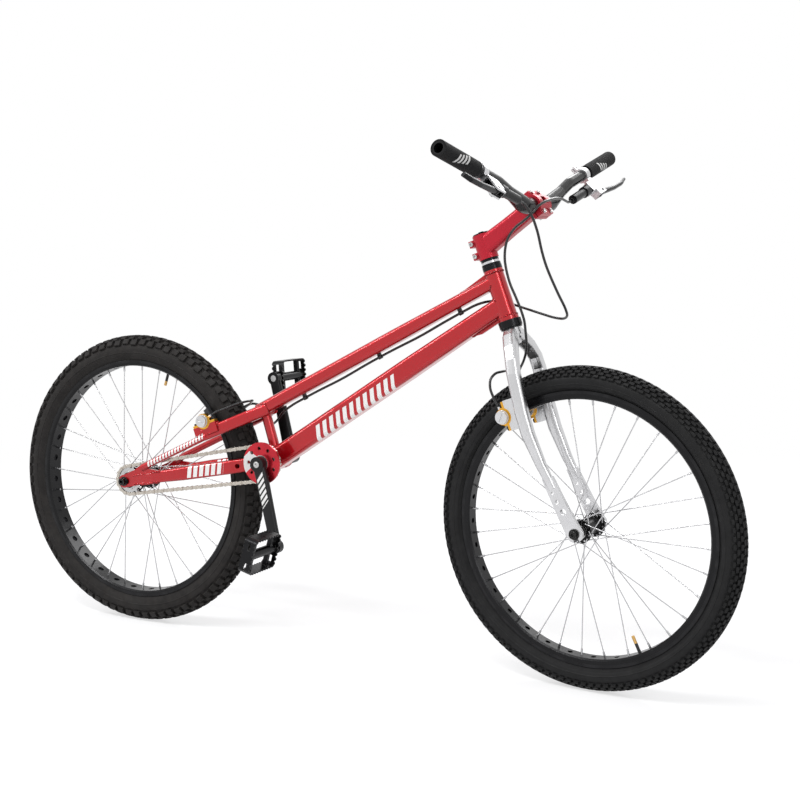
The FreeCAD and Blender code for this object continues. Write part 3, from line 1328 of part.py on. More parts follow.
lever_bracket = fuse([
    disc_x(15.0, -ring_half, ring_half),
    block(-ring_half, ring_half, -6, 6, -LEVER_DROP + 8, -12),
    block(-MASTER_START, 9, -CHEEK_OUTER, CHEEK_OUTER, pivot.z - 6, -LEVER_DROP + 12),
    block(-ring_half, ring_half, -4.5, 4.5, 12, ear_z + 4),
]).cut([
    disc_x(BAR_RADIUS + RUNNING, -20, 20),
    block(-20, 20, -CHEEK_INNER, CHEEK_INNER, pivot.z - 20, -LEVER_DROP + 7),
    disc_x(MASTER_THREAD_RADIUS + RUNNING, -MASTER_START - 1, -19, -LEVER_DROP),
    block(-MASTER_START - 1, -20.5, -20, 20, pivot.z - 20, -LEVER_DROP - 10),
    disc_y(M5_RADIUS + RUNNING, -20, 20, pivot),
    block(-20, 20, -0.8, 0.8, 10, 30),
    disc_y(2.05, -20, 20, UP * ear_z),
])

master = fuse([
    disc_x(MASTER_RADIUS, master_end, -MASTER_START, -LEVER_DROP),
    disc_x(MASTER_THREAD_RADIUS, -MASTER_START, -20, -LEVER_DROP),
    disc_x(5.0, master_end - MASTER_PORT, master_end, -LEVER_DROP),
]).cut(disc_x(MASTER_PISTON_RADIUS + RUNNING, master_end + 20, -19, -LEVER_DROP))
knob = disc_x(MASTER_RADIUS + 2.2, -MASTER_START - 22, -MASTER_START - 4, -LEVER_DROP)
knob = knob.cut(disc_x(MASTER_RADIUS + RUNNING, -MASTER_START - 30, -MASTER_START, -LEVER_DROP))

blade_stations = [
    (pivot + Vector(2, 0, 0), 2 * LEVER_HALF_WIDTH, 12.0),
    (pivot + Vector(22, 0, -3), 2 * LEVER_HALF_WIDTH, 10.0),
    (pivot + Vector(60, 0, -8), 10.0, 8.0),
    (pivot + Vector(96, 0, -9), 10.0, 7.5),
    (pivot + Vector(119, 0, -5), 9.0, 6.0),
]
nose = Vector(LEVER_NOSE_X, 0, -LEVER_DROP)
cam = [
    (nose.x - LEVER_NOSE_RADIUS, nose.z), (nose.x + LEVER_NOSE_RADIUS, nose.z),
    (LEVER_NOSE_RADIUS + 2, pivot.z), (-LEVER_NOSE_RADIUS - 2, pivot.z),
]
lever_blade = fuse([
    lofted(blade_stations),
    disc_y(LEVER_NOSE_RADIUS + 2, -LEVER_HALF_WIDTH, LEVER_HALF_WIDTH, pivot),
    disc_y(LEVER_NOSE_RADIUS, -LEVER_HALF_WIDTH, LEVER_HALF_WIDTH, nose),
    plate_y(cam, -LEVER_HALF_WIDTH, LEVER_HALF_WIDTH),
]).cut(disc_y(M5_RADIUS + RUNNING, -20, 20, pivot))
pivot_pin = fuse([
    disc_y(M5_RADIUS, -CHEEK_OUTER - 0.8, CHEEK_OUTER + 0.8, pivot),
    disc_y(4.0, CHEEK_OUTER, CHEEK_OUTER + 1.6, pivot),
])
clamp_screw = socket_bolt(Vector(0, 4.5, ear_z), ALONG_Y * -1, 9, 2.0, 3.4, 3.0)
piston_face = nose.x - LEVER_NOSE_RADIUS - GAP
master_piston = disc_x(MASTER_PISTON_RADIUS, piston_face - 46, piston_face, -LEVER_DROP)

for side, flip in (("left", unchanged), ("right", mirrored)):

    def on_bar(shape):
        return moved(flip(moved(shape, LEVER)), STEERED)

    node("lever_brackets", on_bar(lever_bracket))
    node("master_cylinders", on_bar(master), on_bar(knob))
    node("lever_blade_" + side, on_bar(lever_blade))
    node("master_piston_" + side, on_bar(master_piston))
    node("control_bolts", on_bar(pivot_pin), on_bar(clamp_screw))

# Build: rim brakes

make_brake("rear", "frame_bolts", Placement(), REAR_BRAKE, REAR_RIM_WIDTH / 2, ORIGIN)
make_brake("front", "control_bolts", STEERED, FRONT_BRAKE, FRONT_RIM_WIDTH / 2, wheel_centre)

# Build: hoses and their clips


def steered_route(points):
    """Points (height, forward, left) of the head axis frame, carried into the bike."""
    return [STEERED.multVec(Vector(p, y, height)) for height, p, y in points]


def under_top_tube(x, drop=HOSE_DROP):
    """A point below the middle of the top tube, on a line alongside it."""
    start = top_rear + Vector(-top_way.z, 0, top_way.x) * drop
    return start + top_way * ((x - start.x) / top_way.x)


hose("rear_brake_crossover", mirrored_route([
    port_point(REAR_BRAKE, -CROSSOVER_PORT_Y),
    port_point(REAR_BRAKE, -CROSSOVER_PORT_Y, 14),
    Vector(252, -46, 172),
    Vector(268, -30, 181),
    Vector(282, -12, 185),
]))
hose("front_brake_crossover", [STEERED.multVec(point) for point in mirrored_route([
    port_point(FRONT_BRAKE, -CROSSOVER_PORT_Y),
    port_point(FRONT_BRAKE, -CROSSOVER_PORT_Y, 18),
    Vector(-57.5, -51, 302),
    Vector(-55, -43, 319),
    Vector(-46, -32, 327),
    Vector(-38, -15, 326),
])])

left_port = LEVER.multVec(Vector(master_end - MASTER_PORT, 0, -LEVER_DROP))
right_port = Vector(left_port.x, -left_port.y, left_port.z)
inward_right = Vector(-bar_outward.x, bar_outward.y, -bar_outward.z)
hose("front_brake_hose", [
    STEERED.multVec(left_port),
    STEERED.multVec(left_port - bar_outward * 14),
] + steered_route([
    (600, 154, 78), (604, 157, 54), (604, 158.5, 28), (601, 158, 2), (597, 157, -24), (590, 151, -46),
    (579, 138, -57), (573, 118, -54), (572, 97, -41), (567, 78, -31), (557, 60, -24), (542, 46, -17),
    (524, 36, -12), (502, 31.5, -10), (478, 31, -11.5), (452, 33, -9), (427, 33.5, -6), (404, 31, -1),
    (384, 25.5, 0), (364, 19, 3), (346, 5, 14), (332, -14, 28), (322, -34, 42), (308, -49, 54),
]) + [
    STEERED.multVec(port_point(FRONT_BRAKE, MAIN_PORT_Y, 20)),
    STEERED.multVec(port_point(FRONT_BRAKE, MAIN_PORT_Y)),
])

clipped_run = []
for index, x in enumerate(CLIP_X):
    if index:
        clipped_run.append(under_top_tube((x + CLIP_X[index - 1]) / 2, HOSE_DROP + HOSE_SAG))
    clipped_run += [under_top_tube(x + CLIP_RUN), under_top_tube(x - CLIP_RUN)]
hose("rear_brake_hose", [
    STEERED.multVec(right_port + inward_right * GAP),
    STEERED.multVec(right_port + inward_right * 14),
] + steered_route([
    (588, 150.5, -87), (568, 150, -77), (541, 146, -68), (511, 138, -60), (481, 132.5, -51),
    (452, 130, -40), (424, 126.5, -25), (401, 122, -6), (386, 113, 13), (384, 97, 27), (393, 75, 35),
    (409, 50, 39), (428, 22, 41), (446, -3, 39),
]) + [Vector(838, 32, 409), Vector(818, 14, 408)] + clipped_run + [
    Vector(360, 8, 166), Vector(334, 25, 143), Vector(306, 46, 129), Vector(294, 57, 138),
    Vector(284, 62, 154), Vector(268, 64.5, 169), port_point(REAR_BRAKE, MAIN_PORT_Y, 26),
    port_point(REAR_BRAKE, MAIN_PORT_Y),
])

for x in CLIP_X:
    share = min((top_head.x - x) / (top_head.x - top_rear.x) / FULL_DEPTH_AT, 1.0)
    tube_depth = TOP_TUBE_HEAD_DEPTH + share * (TOP_TUBE_REAR_DEPTH - TOP_TUBE_HEAD_DEPTH)
    reach = HOSE_DROP - tube_depth / 2 - GAP
    half = CLIP_LENGTH / 2
    clip = disc_x(CLIP_RADIUS, -half, half).fuse(block(-half, half, -2.5, 2.5, 0, reach))
    clip = clip.cut(disc_x(HOSE_RADIUS + RUNNING, -half - 1, half + 1))
    node("hose_clips", moved(clip, Placement(under_top_tube(x), Rotation(ALONG_Y, -top_slope))))

# Export

os.makedirs("parts", exist_ok=True)
for name, shapes in nodes.items():
    solids = [solid for shape in shapes for solid in shape.Solids]
    whole = solids[0] if len(solids) == 1 else Part.makeCompound(solids)
    whole.exportStep("parts/" + name + ".step")
    print(name, len(solids), "solids", "valid" if whole.isValid() else "NOT VALID")
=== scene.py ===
import json
import math

import bmesh
import bpy
import numpy as np
from mathutils import Matrix, Vector


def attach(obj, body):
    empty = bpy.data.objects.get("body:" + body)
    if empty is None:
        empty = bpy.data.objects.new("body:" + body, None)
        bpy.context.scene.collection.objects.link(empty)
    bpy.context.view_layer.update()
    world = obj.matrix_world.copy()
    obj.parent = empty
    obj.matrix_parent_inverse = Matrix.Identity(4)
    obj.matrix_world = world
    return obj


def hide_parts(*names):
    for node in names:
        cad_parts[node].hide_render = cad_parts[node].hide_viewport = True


# Trials bike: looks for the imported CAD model. Metres, X forward, Y to the rider's left, Z up.

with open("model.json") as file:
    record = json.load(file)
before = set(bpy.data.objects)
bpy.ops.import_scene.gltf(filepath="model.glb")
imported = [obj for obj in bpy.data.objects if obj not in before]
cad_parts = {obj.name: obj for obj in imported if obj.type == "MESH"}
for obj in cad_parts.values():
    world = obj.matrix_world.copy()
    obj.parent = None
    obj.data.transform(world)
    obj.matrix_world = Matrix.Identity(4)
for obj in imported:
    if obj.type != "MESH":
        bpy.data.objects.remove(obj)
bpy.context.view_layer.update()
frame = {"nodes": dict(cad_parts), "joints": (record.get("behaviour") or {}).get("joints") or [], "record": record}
NODES = frame["nodes"]
SPINS = {joint["name"]: joint for joint in frame["joints"]}
SLOT_OF = {part["node"]: part["material_slot"] for part in frame["record"]["subparts"]}

# Camera, fitted to the photograph
CAMERA_PLACE = Vector((1.8898119, -2.4356423, 0.5223))
CAMERA_YAW = 0.4752
CAMERA_PITCH = 0.0422
CAMERA_ROLL = 0.0063
CAMERA_LENS = 62.18
CAMERA_SHIFT_Y = -0.125

# Floor and light
FLOOR_Z = -0.3142
FLOOR_SIZE = 30.0
FLOOR_MIDDLE = (0.5, 0.0, FLOOR_Z)
FLOOR_ALBEDO = 0.45
FLOOR_LIFT = 0.62
FLOOR_FADE = (1.4, 3.2)
FLOOR_FAR_LIGHT = 0.45
WORLD_FILL = 0.5
# Name, place, target, size and power in watts of each lamp
LAMPS = (
    ("key", (0.2, -1.9, 2.9), (0.5, 0.0, 0.1), (2.6, 0.3), 58.0),
    ("edge", (-1.9, -1.6, 1.7), (0.4, 0.0, 0.2), (0.3, 1.6), 26.0),
    ("fill", (3.4, -1.9, 1.5), (0.6, 0.0, 0.1), (0.5, 1.8), 20.0),
    ("back", (0.6, 3.0, 2.4), (0.5, 0.0, 0.1), (2.2, 1.0), 40.0),
)

# Bars printed on the frame: start, end, half height, least distance from the frame's middle plane,
# pitch, inked share of the pitch, slant
PRINT_WHITE = (0.85, 0.85, 0.84)
UPWARD = (0.0, 0.0, 1.0)
DOWN_TUBE_BARS = ((0.458, 0.0, 0.128), (0.636, 0.0, 0.2435), 0.0165, 0.013, 0.0185, 0.56, -0.5)
CHAINSTAY_BARS = ((0.166, 0.0, 0.0325), (0.252, 0.0, 0.0475), 0.0115, 0.042, 0.0145, 0.66, -0.25)
SEATSTAY_BARS = ((0.066, 0.0, 0.0425), (0.206, 0.0, 0.1125), 0.0052, 0.06, 0.0085, 0.6, -0.4)

# Strip on the head tube
HEAD_STRIP = ((0.8905, 0.0, 0.392), (0.8685, 0.0, 0.4525))
HEAD_STRIP_UP = (-0.62, -0.78, 0.0)
HEAD_STRIP_HALF = 0.0045
HEAD_STRIP_DEPTH = 0.012

# Silver ring in the headset, from and to this height above the head tube's lower end
SILVER_RING = (0.1140, 0.1185)

# Pale sector of the bash ring, from the bracket
RING_SECTOR = (Vector((-0.050, 0, 0.004)), Vector((-0.024, 0, -0.010)))
RING_SECTOR_HALF = 0.027
RING_SECTOR_SLANT = -0.35

# Bars on the right crank, measured from the bracket along the arm
CRANK_PRINT_START = 0.024
CRANK_PRINT_LENGTH = 0.06
CRANK_PRINT_HALF = 0.0085
CRANK_PRINT_Y = -0.078
CRANK_FACE_Y = -0.0712

# Bars on the grips
GRIP_PRINT_HALF_LENGTH = 0.022
GRIP_PRINT_HALF = 0.0075

# Wheels: distances from the axle
BRAKE_TRACK = (0.2535, 0.2605)
VALVE_TIP = 0.2255
BEAD_RADIUS = 0.25355
RIM_LIP = 0.2598

# Tyre walls, in metres, and places round the section, in degrees from the crown
TURN_STEPS = 288
BLOCK_HEIGHT = 0.004
BLOCK_ROOT = 0.0008
CASING_WALL = 0.0026
BEAD_PLAY = 0.00205
BEAD_WIDTH = 0.0032
LIP_STEP = 0.001
INSIDE_ARC = 116
INSIDE_STEPS = 20
TREAD_EDGE = 70
CASING_START = 76
SIDE_RING = (99.5, 101)
SIDE_RING_HEIGHT = 0.0007

# Welds
WELD_RADIUS = 0.0019
WELD_PITCH = 0.0027
WELD_STEP = 0.0007
WELD_SIDES = 8
WELD_RIPPLE = (0.90, 0.13)
WELD_END = 0.3
WELD_SMOOTHING = 4
SAME_CORNER = 2e-6
LEAST_WELD_ANGLE = math.radians(22)
LEAST_WELD_LENGTH = 0.03


# Materials

class Shade:
    """A Principled material that is built up node by node, in the object's own metres."""

    def __init__(self, name, roughness, metallic=0.0, coat=0.0, coat_roughness=0.03, specular=0.5):
        self.material = bpy.data.materials.new(name)
        self.material.use_nodes = True
        self.tree = self.material.node_tree
        self.tree.nodes.clear()
        self.surface = self.tree.nodes.new("ShaderNodeBsdfPrincipled")
        output = self.tree.nodes.new("ShaderNodeOutputMaterial")
        self.tree.links.new(self.surface.outputs[0], output.inputs["Surface"])
        self.place = self.tree.nodes.new("ShaderNodeTexCoord").outputs["Object"]
        sockets = self.surface.inputs
        sockets["Roughness"].default_value = roughness
        sockets["Metallic"].default_value = metallic
        sockets["Coat Weight"].default_value = coat
        sockets["Coat Roughness"].default_value = coat_roughness
        sockets["Specular IOR Level"].default_value = specular

    def feed(self, socket, value):
        """Links the socket to another one, or sets its number or colour."""
        if isinstance(value, bpy.types.NodeSocket):
            self.tree.links.new(value, socket)
        elif isinstance(value, (tuple, list, Vector)) and len(value) == 3 and socket.type == "RGBA":
            socket.default_value = (*value, 1.0)
        else:
            socket.default_value = value

    def maths(self, operation, first, second=0.0, third=0.0):
        node = self.tree.nodes.new("ShaderNodeMath")
        node.operation = operation
        for socket, value in zip(node.inputs, (first, second, third)):
            self.feed(socket, value)
        return node.outputs[0]

    def vectors(self, operation, first, second=(0.0, 0.0, 0.0), result=0):
        node = self.tree.nodes.new("ShaderNodeVectorMath")
        node.operation = operation
        self.feed(node.inputs[0], first)
        self.feed(node.inputs[1], second)
        return node.outputs[result]

    def dot(self, vector, way):
        return self.vectors("DOT_PRODUCT", vector, tuple(way), 1)

    def noise(self, scale, detail=3.0, stretch=(1.0, 1.0, 1.0), place=None):
        node = self.tree.nodes.new("ShaderNodeTexNoise")
        node.inputs["Scale"].default_value = scale
        node.inputs["Detail"].default_value = detail
        self.feed(node.inputs["Vector"], self.vectors("MULTIPLY", place or self.place, stretch))
        return node.outputs[0]

    def cells(self, scale):
        node = self.tree.nodes.new("ShaderNodeTexVoronoi")
        node.inputs["Scale"].default_value = scale
        self.feed(node.inputs["Vector"], self.place)
        return node.outputs[0]

    def spread(self, value, low, high, to_low=0.0, to_high=1.0):
        node = self.tree.nodes.new("ShaderNodeMapRange")
        for socket, number in zip(node.inputs, (value, low, high, to_low, to_high)):
            self.feed(socket, number)
        return node.outputs[0]

    def mixed(self, share, first, second):
        node = self.tree.nodes.new("ShaderNodeMix")
        node.data_type = "RGBA"
        self.feed(node.inputs[0], share)
        self.feed(node.inputs[6], first)
        self.feed(node.inputs[7], second)
        return node.outputs[2]

    def varied(self, colour, amount, scale, place=None):
        """The colour with soft lighter and darker patches."""
        lighter = tuple(min(1.0, channel * (1 + amount)) for channel in colour)
        darker = tuple(channel * (1 - amount) for channel in colour)
        return self.mixed(self.spread(self.noise(scale, 4.0, place=place), 0.3, 0.7), darker, lighter)

    def colour(self, value):
        self.feed(self.surface.inputs["Base Color"], value)

    def roughness(self, middle, amount, scale, stretch=(1.0, 1.0, 1.0)):
        patches = self.noise(scale, 4.0, stretch)
        value = self.spread(patches, 0.3, 0.7, middle - amount, middle + amount)
        self.feed(self.surface.inputs["Roughness"], value)

    def relief(self, height, distance, edge=0.0):
        """Bump of that height in metres, over edges rounded by the edge radius."""
        node = self.tree.nodes.new("ShaderNodeBump")
        node.inputs["Strength"].default_value = 1.0
        node.inputs["Distance"].default_value = distance
        self.feed(node.inputs["Height"], height)
        if edge:
            rounded = self.tree.nodes.new("ShaderNodeBevel")
            rounded.samples = 4
            rounded.inputs["Radius"].default_value = edge
            self.tree.links.new(rounded.outputs[0], node.inputs["Normal"])
        self.tree.links.new(node.outputs[0], self.surface.inputs["Normal"])


def both_sides(shade):
    """The place with its Y made positive, so that a print on one side also lies on the other."""
    split = shade.tree.nodes.new("ShaderNodeSeparateXYZ")
    shade.feed(split.inputs[0], shade.place)
    join = shade.tree.nodes.new("ShaderNodeCombineXYZ")
    shade.feed(join.inputs[0], split.outputs[0])
    shade.feed(join.inputs[1], shade.maths("ABSOLUTE", split.outputs[1]))
    shade.feed(join.inputs[2], split.outputs[2])
    return join.outputs[0]


def within(shade, value, low, high):
    """1 where the value lies between low and high."""
    above = shade.maths("GREATER_THAN", value, low)
    below = shade.maths("LESS_THAN", value, high)
    return shade.maths("MULTIPLY", above, below)


def print_mask(shade, place, start, end, up, half, depth, pitch=0.0, share=0.6, slant=0.6, one_side=False):
    """1 on a printed panel from start to end, half wide each way along up, and depth or more out."""
    start = Vector(start)
    way = Vector(end) - start
    length = way.length
    way.normalize()
    up = (Vector(up) - way * Vector(up).dot(way)).normalized()
    out = way.cross(up)
    moved = shade.vectors("SUBTRACT", place, tuple(start))
    along = shade.dot(moved, way)
    across = shade.dot(moved, up)
    lean = shade.maths("MULTIPLY_ADD", across, slant, along)
    panel = within(shade, lean, 0.0, length)
    panel = shade.maths("MULTIPLY", panel, within(shade, across, -half, half))
    outside = shade.dot(moved, out)
    if not one_side:
        outside = shade.maths("ABSOLUTE", outside)
    panel = shade.maths("MULTIPLY", panel, shade.maths("GREATER_THAN", outside, depth))
    if pitch:
        phase = shade.maths("FRACT", shade.maths("DIVIDE", lean, pitch))
        panel = shade.maths("MULTIPLY", panel, shade.maths("LESS_THAN", phase, share))
    return panel


def with_prints(shade, base, masks, ink=PRINT_WHITE):
    colour = base
    for mask in masks:
        colour = shade.mixed(mask, colour, ink)
    return colour


def wheel_places(shade, spin):
    """Angle round a wheel's axle, distance from the axle and distance along it."""
    joint = SPINS[spin]
    centre = Vector(joint["pos_m"])
    axle = Vector(joint["axis"]).normalized()
    level = Vector((0.0, 0.0, 1.0)).cross(axle).normalized()
    upright = axle.cross(level)
    moved = shade.vectors("SUBTRACT", shade.place, tuple(centre))
    first = shade.dot(moved, level)
    second = shade.dot(moved, upright)
    along = shade.dot(moved, axle)
    angle = shade.maths("ARCTAN2", second, first)
    squares = shade.maths("ADD", shade.maths("POWER", first, 2.0), shade.maths("POWER", second, 2.0))
    return angle, shade.maths("SQRT", squares), along


def flake_paint(name, colour, metallic, roughness, coat):
    """Metallic paint under clear lacquer: fine flake, slow orange peel."""
    shade = Shade(name, roughness, metallic, coat, 0.04, 0.25)
    flakes = shade.spread(shade.cells(1800.0), 0.0, 0.9)
    bright = tuple(min(1.0, channel * 1.1) for channel in colour)
    base = shade.mixed(flakes, bright, tuple(channel * 0.93 for channel in colour))
    base = shade.mixed(shade.spread(shade.noise(9.0, 2.0), 0.35, 0.65, 0.0, 0.2), base,
                       tuple(channel * 0.75 for channel in colour))
    shade.roughness(roughness, 0.02, 20.0)
    shade.relief(shade.noise(150.0, 1.0), 0.000012, 0.0008)
    return shade, base


def frame_paint():
    """Red paint with generic white bars on both sides and a pale strip on the head tube."""
    shade, base = flake_paint("painted_frame", (0.46, 0.003, 0.009), 0.55, 0.3, 0.8)
    place = both_sides(shade)
    masks = []
    for start, end, half, depth, pitch, share, slant in (DOWN_TUBE_BARS, CHAINSTAY_BARS, SEATSTAY_BARS):
        masks.append(print_mask(shade, place, start, end, UPWARD, half, depth, pitch, share, slant))
    masks.append(print_mask(shade, shade.place, *HEAD_STRIP, HEAD_STRIP_UP, HEAD_STRIP_HALF, HEAD_STRIP_DEPTH,
                            one_side=True))
    shade.colour(with_prints(shade, base, masks))
    return shade.material


def stem_paint():
    shade, base = flake_paint("painted_stem", (0.46, 0.012, 0.028), 0.5, 0.4, 0.2)
    shade.colour(base)
    return shade.material


def worn_edges(shade, radius, strength):
    """More than 0 where the surface turns sharply, broken up by noise."""
    rounded = shade.tree.nodes.new("ShaderNodeBevel")
    rounded.samples = 4
    rounded.inputs["Radius"].default_value = radius
    plain = shade.tree.nodes.new("ShaderNodeNewGeometry").outputs["Normal"]
    turned = shade.vectors("DOT_PRODUCT", rounded.outputs[0], plain, 1)
    edge = shade.spread(turned, 0.97, 0.80, 0.0, strength)
    return shade.maths("MULTIPLY", edge, shade.spread(shade.noise(160.0, 4.0), 0.35, 0.65))


def metal(name, colour, roughness, grain=(1.0, 1.0, 1.0), grain_scale=700.0, depth=0.00001, edge=0.0004,
          wear=0.0, metallic=1.0):
    """Bare, anodised or plated metal with fine machining marks and slightly uneven gloss."""
    shade = Shade(name, roughness, metallic)
    base = shade.varied(colour, 0.04, 35.0)
    if wear:
        base = shade.mixed(worn_edges(shade, 0.0007, wear), base, (0.45, 0.45, 0.45))
    shade.colour(base)
    shade.roughness(roughness, 0.04, 60.0, grain)
    shade.relief(shade.noise(grain_scale, 3.0, grain), depth, edge)
    return shade.material


def headset_metal():
    """Black rings with a silver one among them, told apart by height up the head tube."""
    shade = Shade("headset_rings", 0.26, 0.85)
    steering = SPINS["steering_turn"]
    moved = shade.vectors("SUBTRACT", shade.place, steering["pos_m"])
    silver = within(shade, shade.dot(moved, steering["axis"]), *SILVER_RING)
    shade.colour(shade.mixed(silver, shade.varied((0.012, 0.012, 0.013), 0.1, 60.0), (0.62, 0.62, 0.63)))
    shade.relief(shade.noise(600.0, 2.0), 0.00001, 0.0004)
    return shade.material


def gloss_black():
    """Black lacquered tube."""
    shade = Shade("gloss_black_bar", 0.22, specular=0.28)
    shade.colour(shade.varied((0.006, 0.006, 0.0065), 0.15, 40.0))
    shade.roughness(0.22, 0.03, 50.0)
    shade.relief(shade.noise(220.0, 2.0), 0.00001)
    return shade.material


def bash_ring_metal():
    """Red anodised ring with a plain pale sector towards the back."""
    shade = Shade("red_ring", 0.3, 0.85, 0.4)
    bracket = Vector(SPINS["crank_spin"]["pos_m"])
    base = shade.varied((0.5, 0.012, 0.025), 0.12, 60.0)
    start, end = (bracket + spot for spot in RING_SECTOR)
    rear = print_mask(shade, shade.place, start, end, UPWARD, RING_SECTOR_HALF, 0.0, slant=RING_SECTOR_SLANT)
    shade.colour(with_prints(shade, base, [rear], (0.8, 0.78, 0.78)))
    shade.feed(shade.surface.inputs["Metallic"], shade.spread(rear, 0.0, 1.0, 0.85, 0.0))
    shade.relief(shade.noise(500.0, 2.0), 0.00003, 0.0006)
    return shade.material


def crank_metal():
    """Satin black arm with a generic pale panel of slanted bars below the boss."""
    shade = Shade("crank_black", 0.34, 0.2, specular=0.3)
    bracket = Vector(SPINS["crank_spin"]["pos_m"])
    way = (Vector(SPINS["pedal_right_spin"]["pos_m"]) - bracket).normalized()
    start = bracket + way * CRANK_PRINT_START + Vector((0, CRANK_PRINT_Y, 0))
    end = start + way * CRANK_PRINT_LENGTH
    panel = print_mask(shade, shade.place, start, end, (1, 0, 0.3), CRANK_PRINT_HALF, -1.0, 0.0115, 0.62, 0.8)
    face = shade.maths("LESS_THAN", shade.dot(shade.place, (0, 1, 0)), CRANK_FACE_Y)
    panel = shade.maths("MULTIPLY", panel, face)
    shade.colour(with_prints(shade, shade.varied((0.010, 0.010, 0.011), 0.15, 80.0), [panel]))
    shade.relief(shade.noise(900.0, 2.0), 0.00003, 0.0006)
    return shade.material


def rim_metal(name, spin):
    """Black anodised rim with lathe marks round it and slightly worn brake tracks."""
    shade = Shade(name, 0.25, 0.3, specular=0.25)
    angle, radius, along = wheel_places(shade, spin)
    lathed = shade.vectors("MULTIPLY", ring_place(shade, angle, radius, along), (3.0, 2600.0, 2600.0))
    rings = shade.noise(1.0, 2.0, place=lathed)
    track = within(shade, radius, *BRAKE_TRACK)
    worn = shade.maths("MULTIPLY", track, shade.spread(shade.noise(45.0, 4.0), 0.35, 0.75, 0.0, 0.5))
    base = shade.mixed(worn, shade.varied((0.007, 0.007, 0.008), 0.2, 30.0), (0.035, 0.035, 0.037))
    shade.colour(base)
    shade.relief(rings, 0.00002, 0.0005)
    return shade.material


def ring_place(shade, angle, radius, along):
    """A place whose three parts are the angle, the radius and the distance along the axle."""
    join = shade.tree.nodes.new("ShaderNodeCombineXYZ")
    shade.feed(join.inputs[0], angle)
    shade.feed(join.inputs[1], radius)
    shade.feed(join.inputs[2], along)
    return join.outputs[0]


def rubber(name, spin, colour, dust, gloss):
    """Tyre rubber: dusty patches, a fine skin and faint moulding lines round the sidewall."""
    shade = Shade(name, gloss, specular=0.22)
    radius = wheel_places(shade, spin)[1]
    base = shade.varied(colour, 0.22, 24.0)
    dusty = shade.spread(shade.noise(70.0, 5.0), 0.45, 0.8, 0.0, 0.5)
    shade.colour(shade.mixed(dusty, base, dust))
    shade.roughness(gloss, 0.1, 50.0)
    lines = shade.maths("SINE", shade.maths("MULTIPLY", radius, 2400.0))
    skin = shade.maths("ADD", shade.noise(900.0, 4.0), shade.maths("MULTIPLY", lines, 0.12))
    shade.relief(skin, 0.00015)
    return shade.material


def grip_line(sign):
    """Middle and axis of the grip on one side, from its vertices."""
    spots = np.array([vertex.co for vertex in NODES["grips"].data.vertices], float)
    spots = spots[spots[:, 1] * sign > 0]
    low = spots[spots[:, 1] < np.percentile(spots[:, 1], 5)].mean(axis=0)
    high = spots[spots[:, 1] > np.percentile(spots[:, 1], 95)].mean(axis=0)
    return Vector((low + high) / 2), Vector(high - low).normalized()


def foam():
    """Closed cell foam with pores, and plain slanted bars printed on the front of each grip."""
    shade = Shade("grip_foam", 0.85, specular=0.1)
    base = shade.varied((0.010, 0.010, 0.0105), 0.25, 220.0)
    masks = []
    for sign in (-1, 1):
        middle, way = grip_line(sign)
        reach = way * GRIP_PRINT_HALF_LENGTH
        masks.append(print_mask(shade, shade.place, middle - reach, middle + reach, (0.15, 0.0, 1.0),
                                GRIP_PRINT_HALF, 0.004, 0.011, 0.55, 0.8 * sign, True))
    shade.colour(with_prints(shade, base, masks))
    shade.surface.inputs["Sheen Weight"].default_value = 0.1
    shade.surface.inputs["Sheen Roughness"].default_value = 0.5
    pores = shade.maths("ADD", shade.cells(1500.0), shade.noise(700.0, 3.0))
    shade.relief(pores, 0.00022)
    return shade.material


def plastic(name, colour, roughness, grain, depth):
    """Moulded or extruded plastic or rubber with a fine grain."""
    shade = Shade(name, roughness)
    shade.colour(shade.varied(colour, 0.2, 60.0))
    shade.roughness(roughness, 0.06, 90.0)
    shade.relief(shade.noise(grain, 3.0), depth, 0.0004)
    return shade.material


def woven_tape(name, spin):
    """Black rim tape: a plain weave round the wheel."""
    shade = Shade(name, 0.6, specular=0.4)
    angle, _, along = wheel_places(shade, spin)
    warp = shade.maths("SINE", shade.maths("MULTIPLY", angle, 1900.0))
    weft = shade.maths("SINE", shade.maths("MULTIPLY", along, 7600.0))
    weave = shade.maths("MULTIPLY", warp, weft)
    base = shade.mixed(shade.spread(weave, -1.0, 1.0), (0.014, 0.014, 0.016), (0.045, 0.045, 0.05))
    shade.colour(base)
    shade.relief(weave, 0.00008)
    return shade.material


def valve_rubber(name, spin):
    """Butyl tube whose valve has a brass end."""
    shade = Shade(name, 0.5, specular=0.4)
    brass = shade.maths("LESS_THAN", wheel_places(shade, spin)[1], VALVE_TIP)
    base = shade.varied((0.02, 0.02, 0.021), 0.2, 80.0)
    shade.colour(shade.mixed(brass, base, (0.6, 0.38, 0.14)))
    shade.feed(shade.surface.inputs["Metallic"], brass)
    shade.relief(shade.noise(600.0, 2.0), 0.00004)
    return shade.material


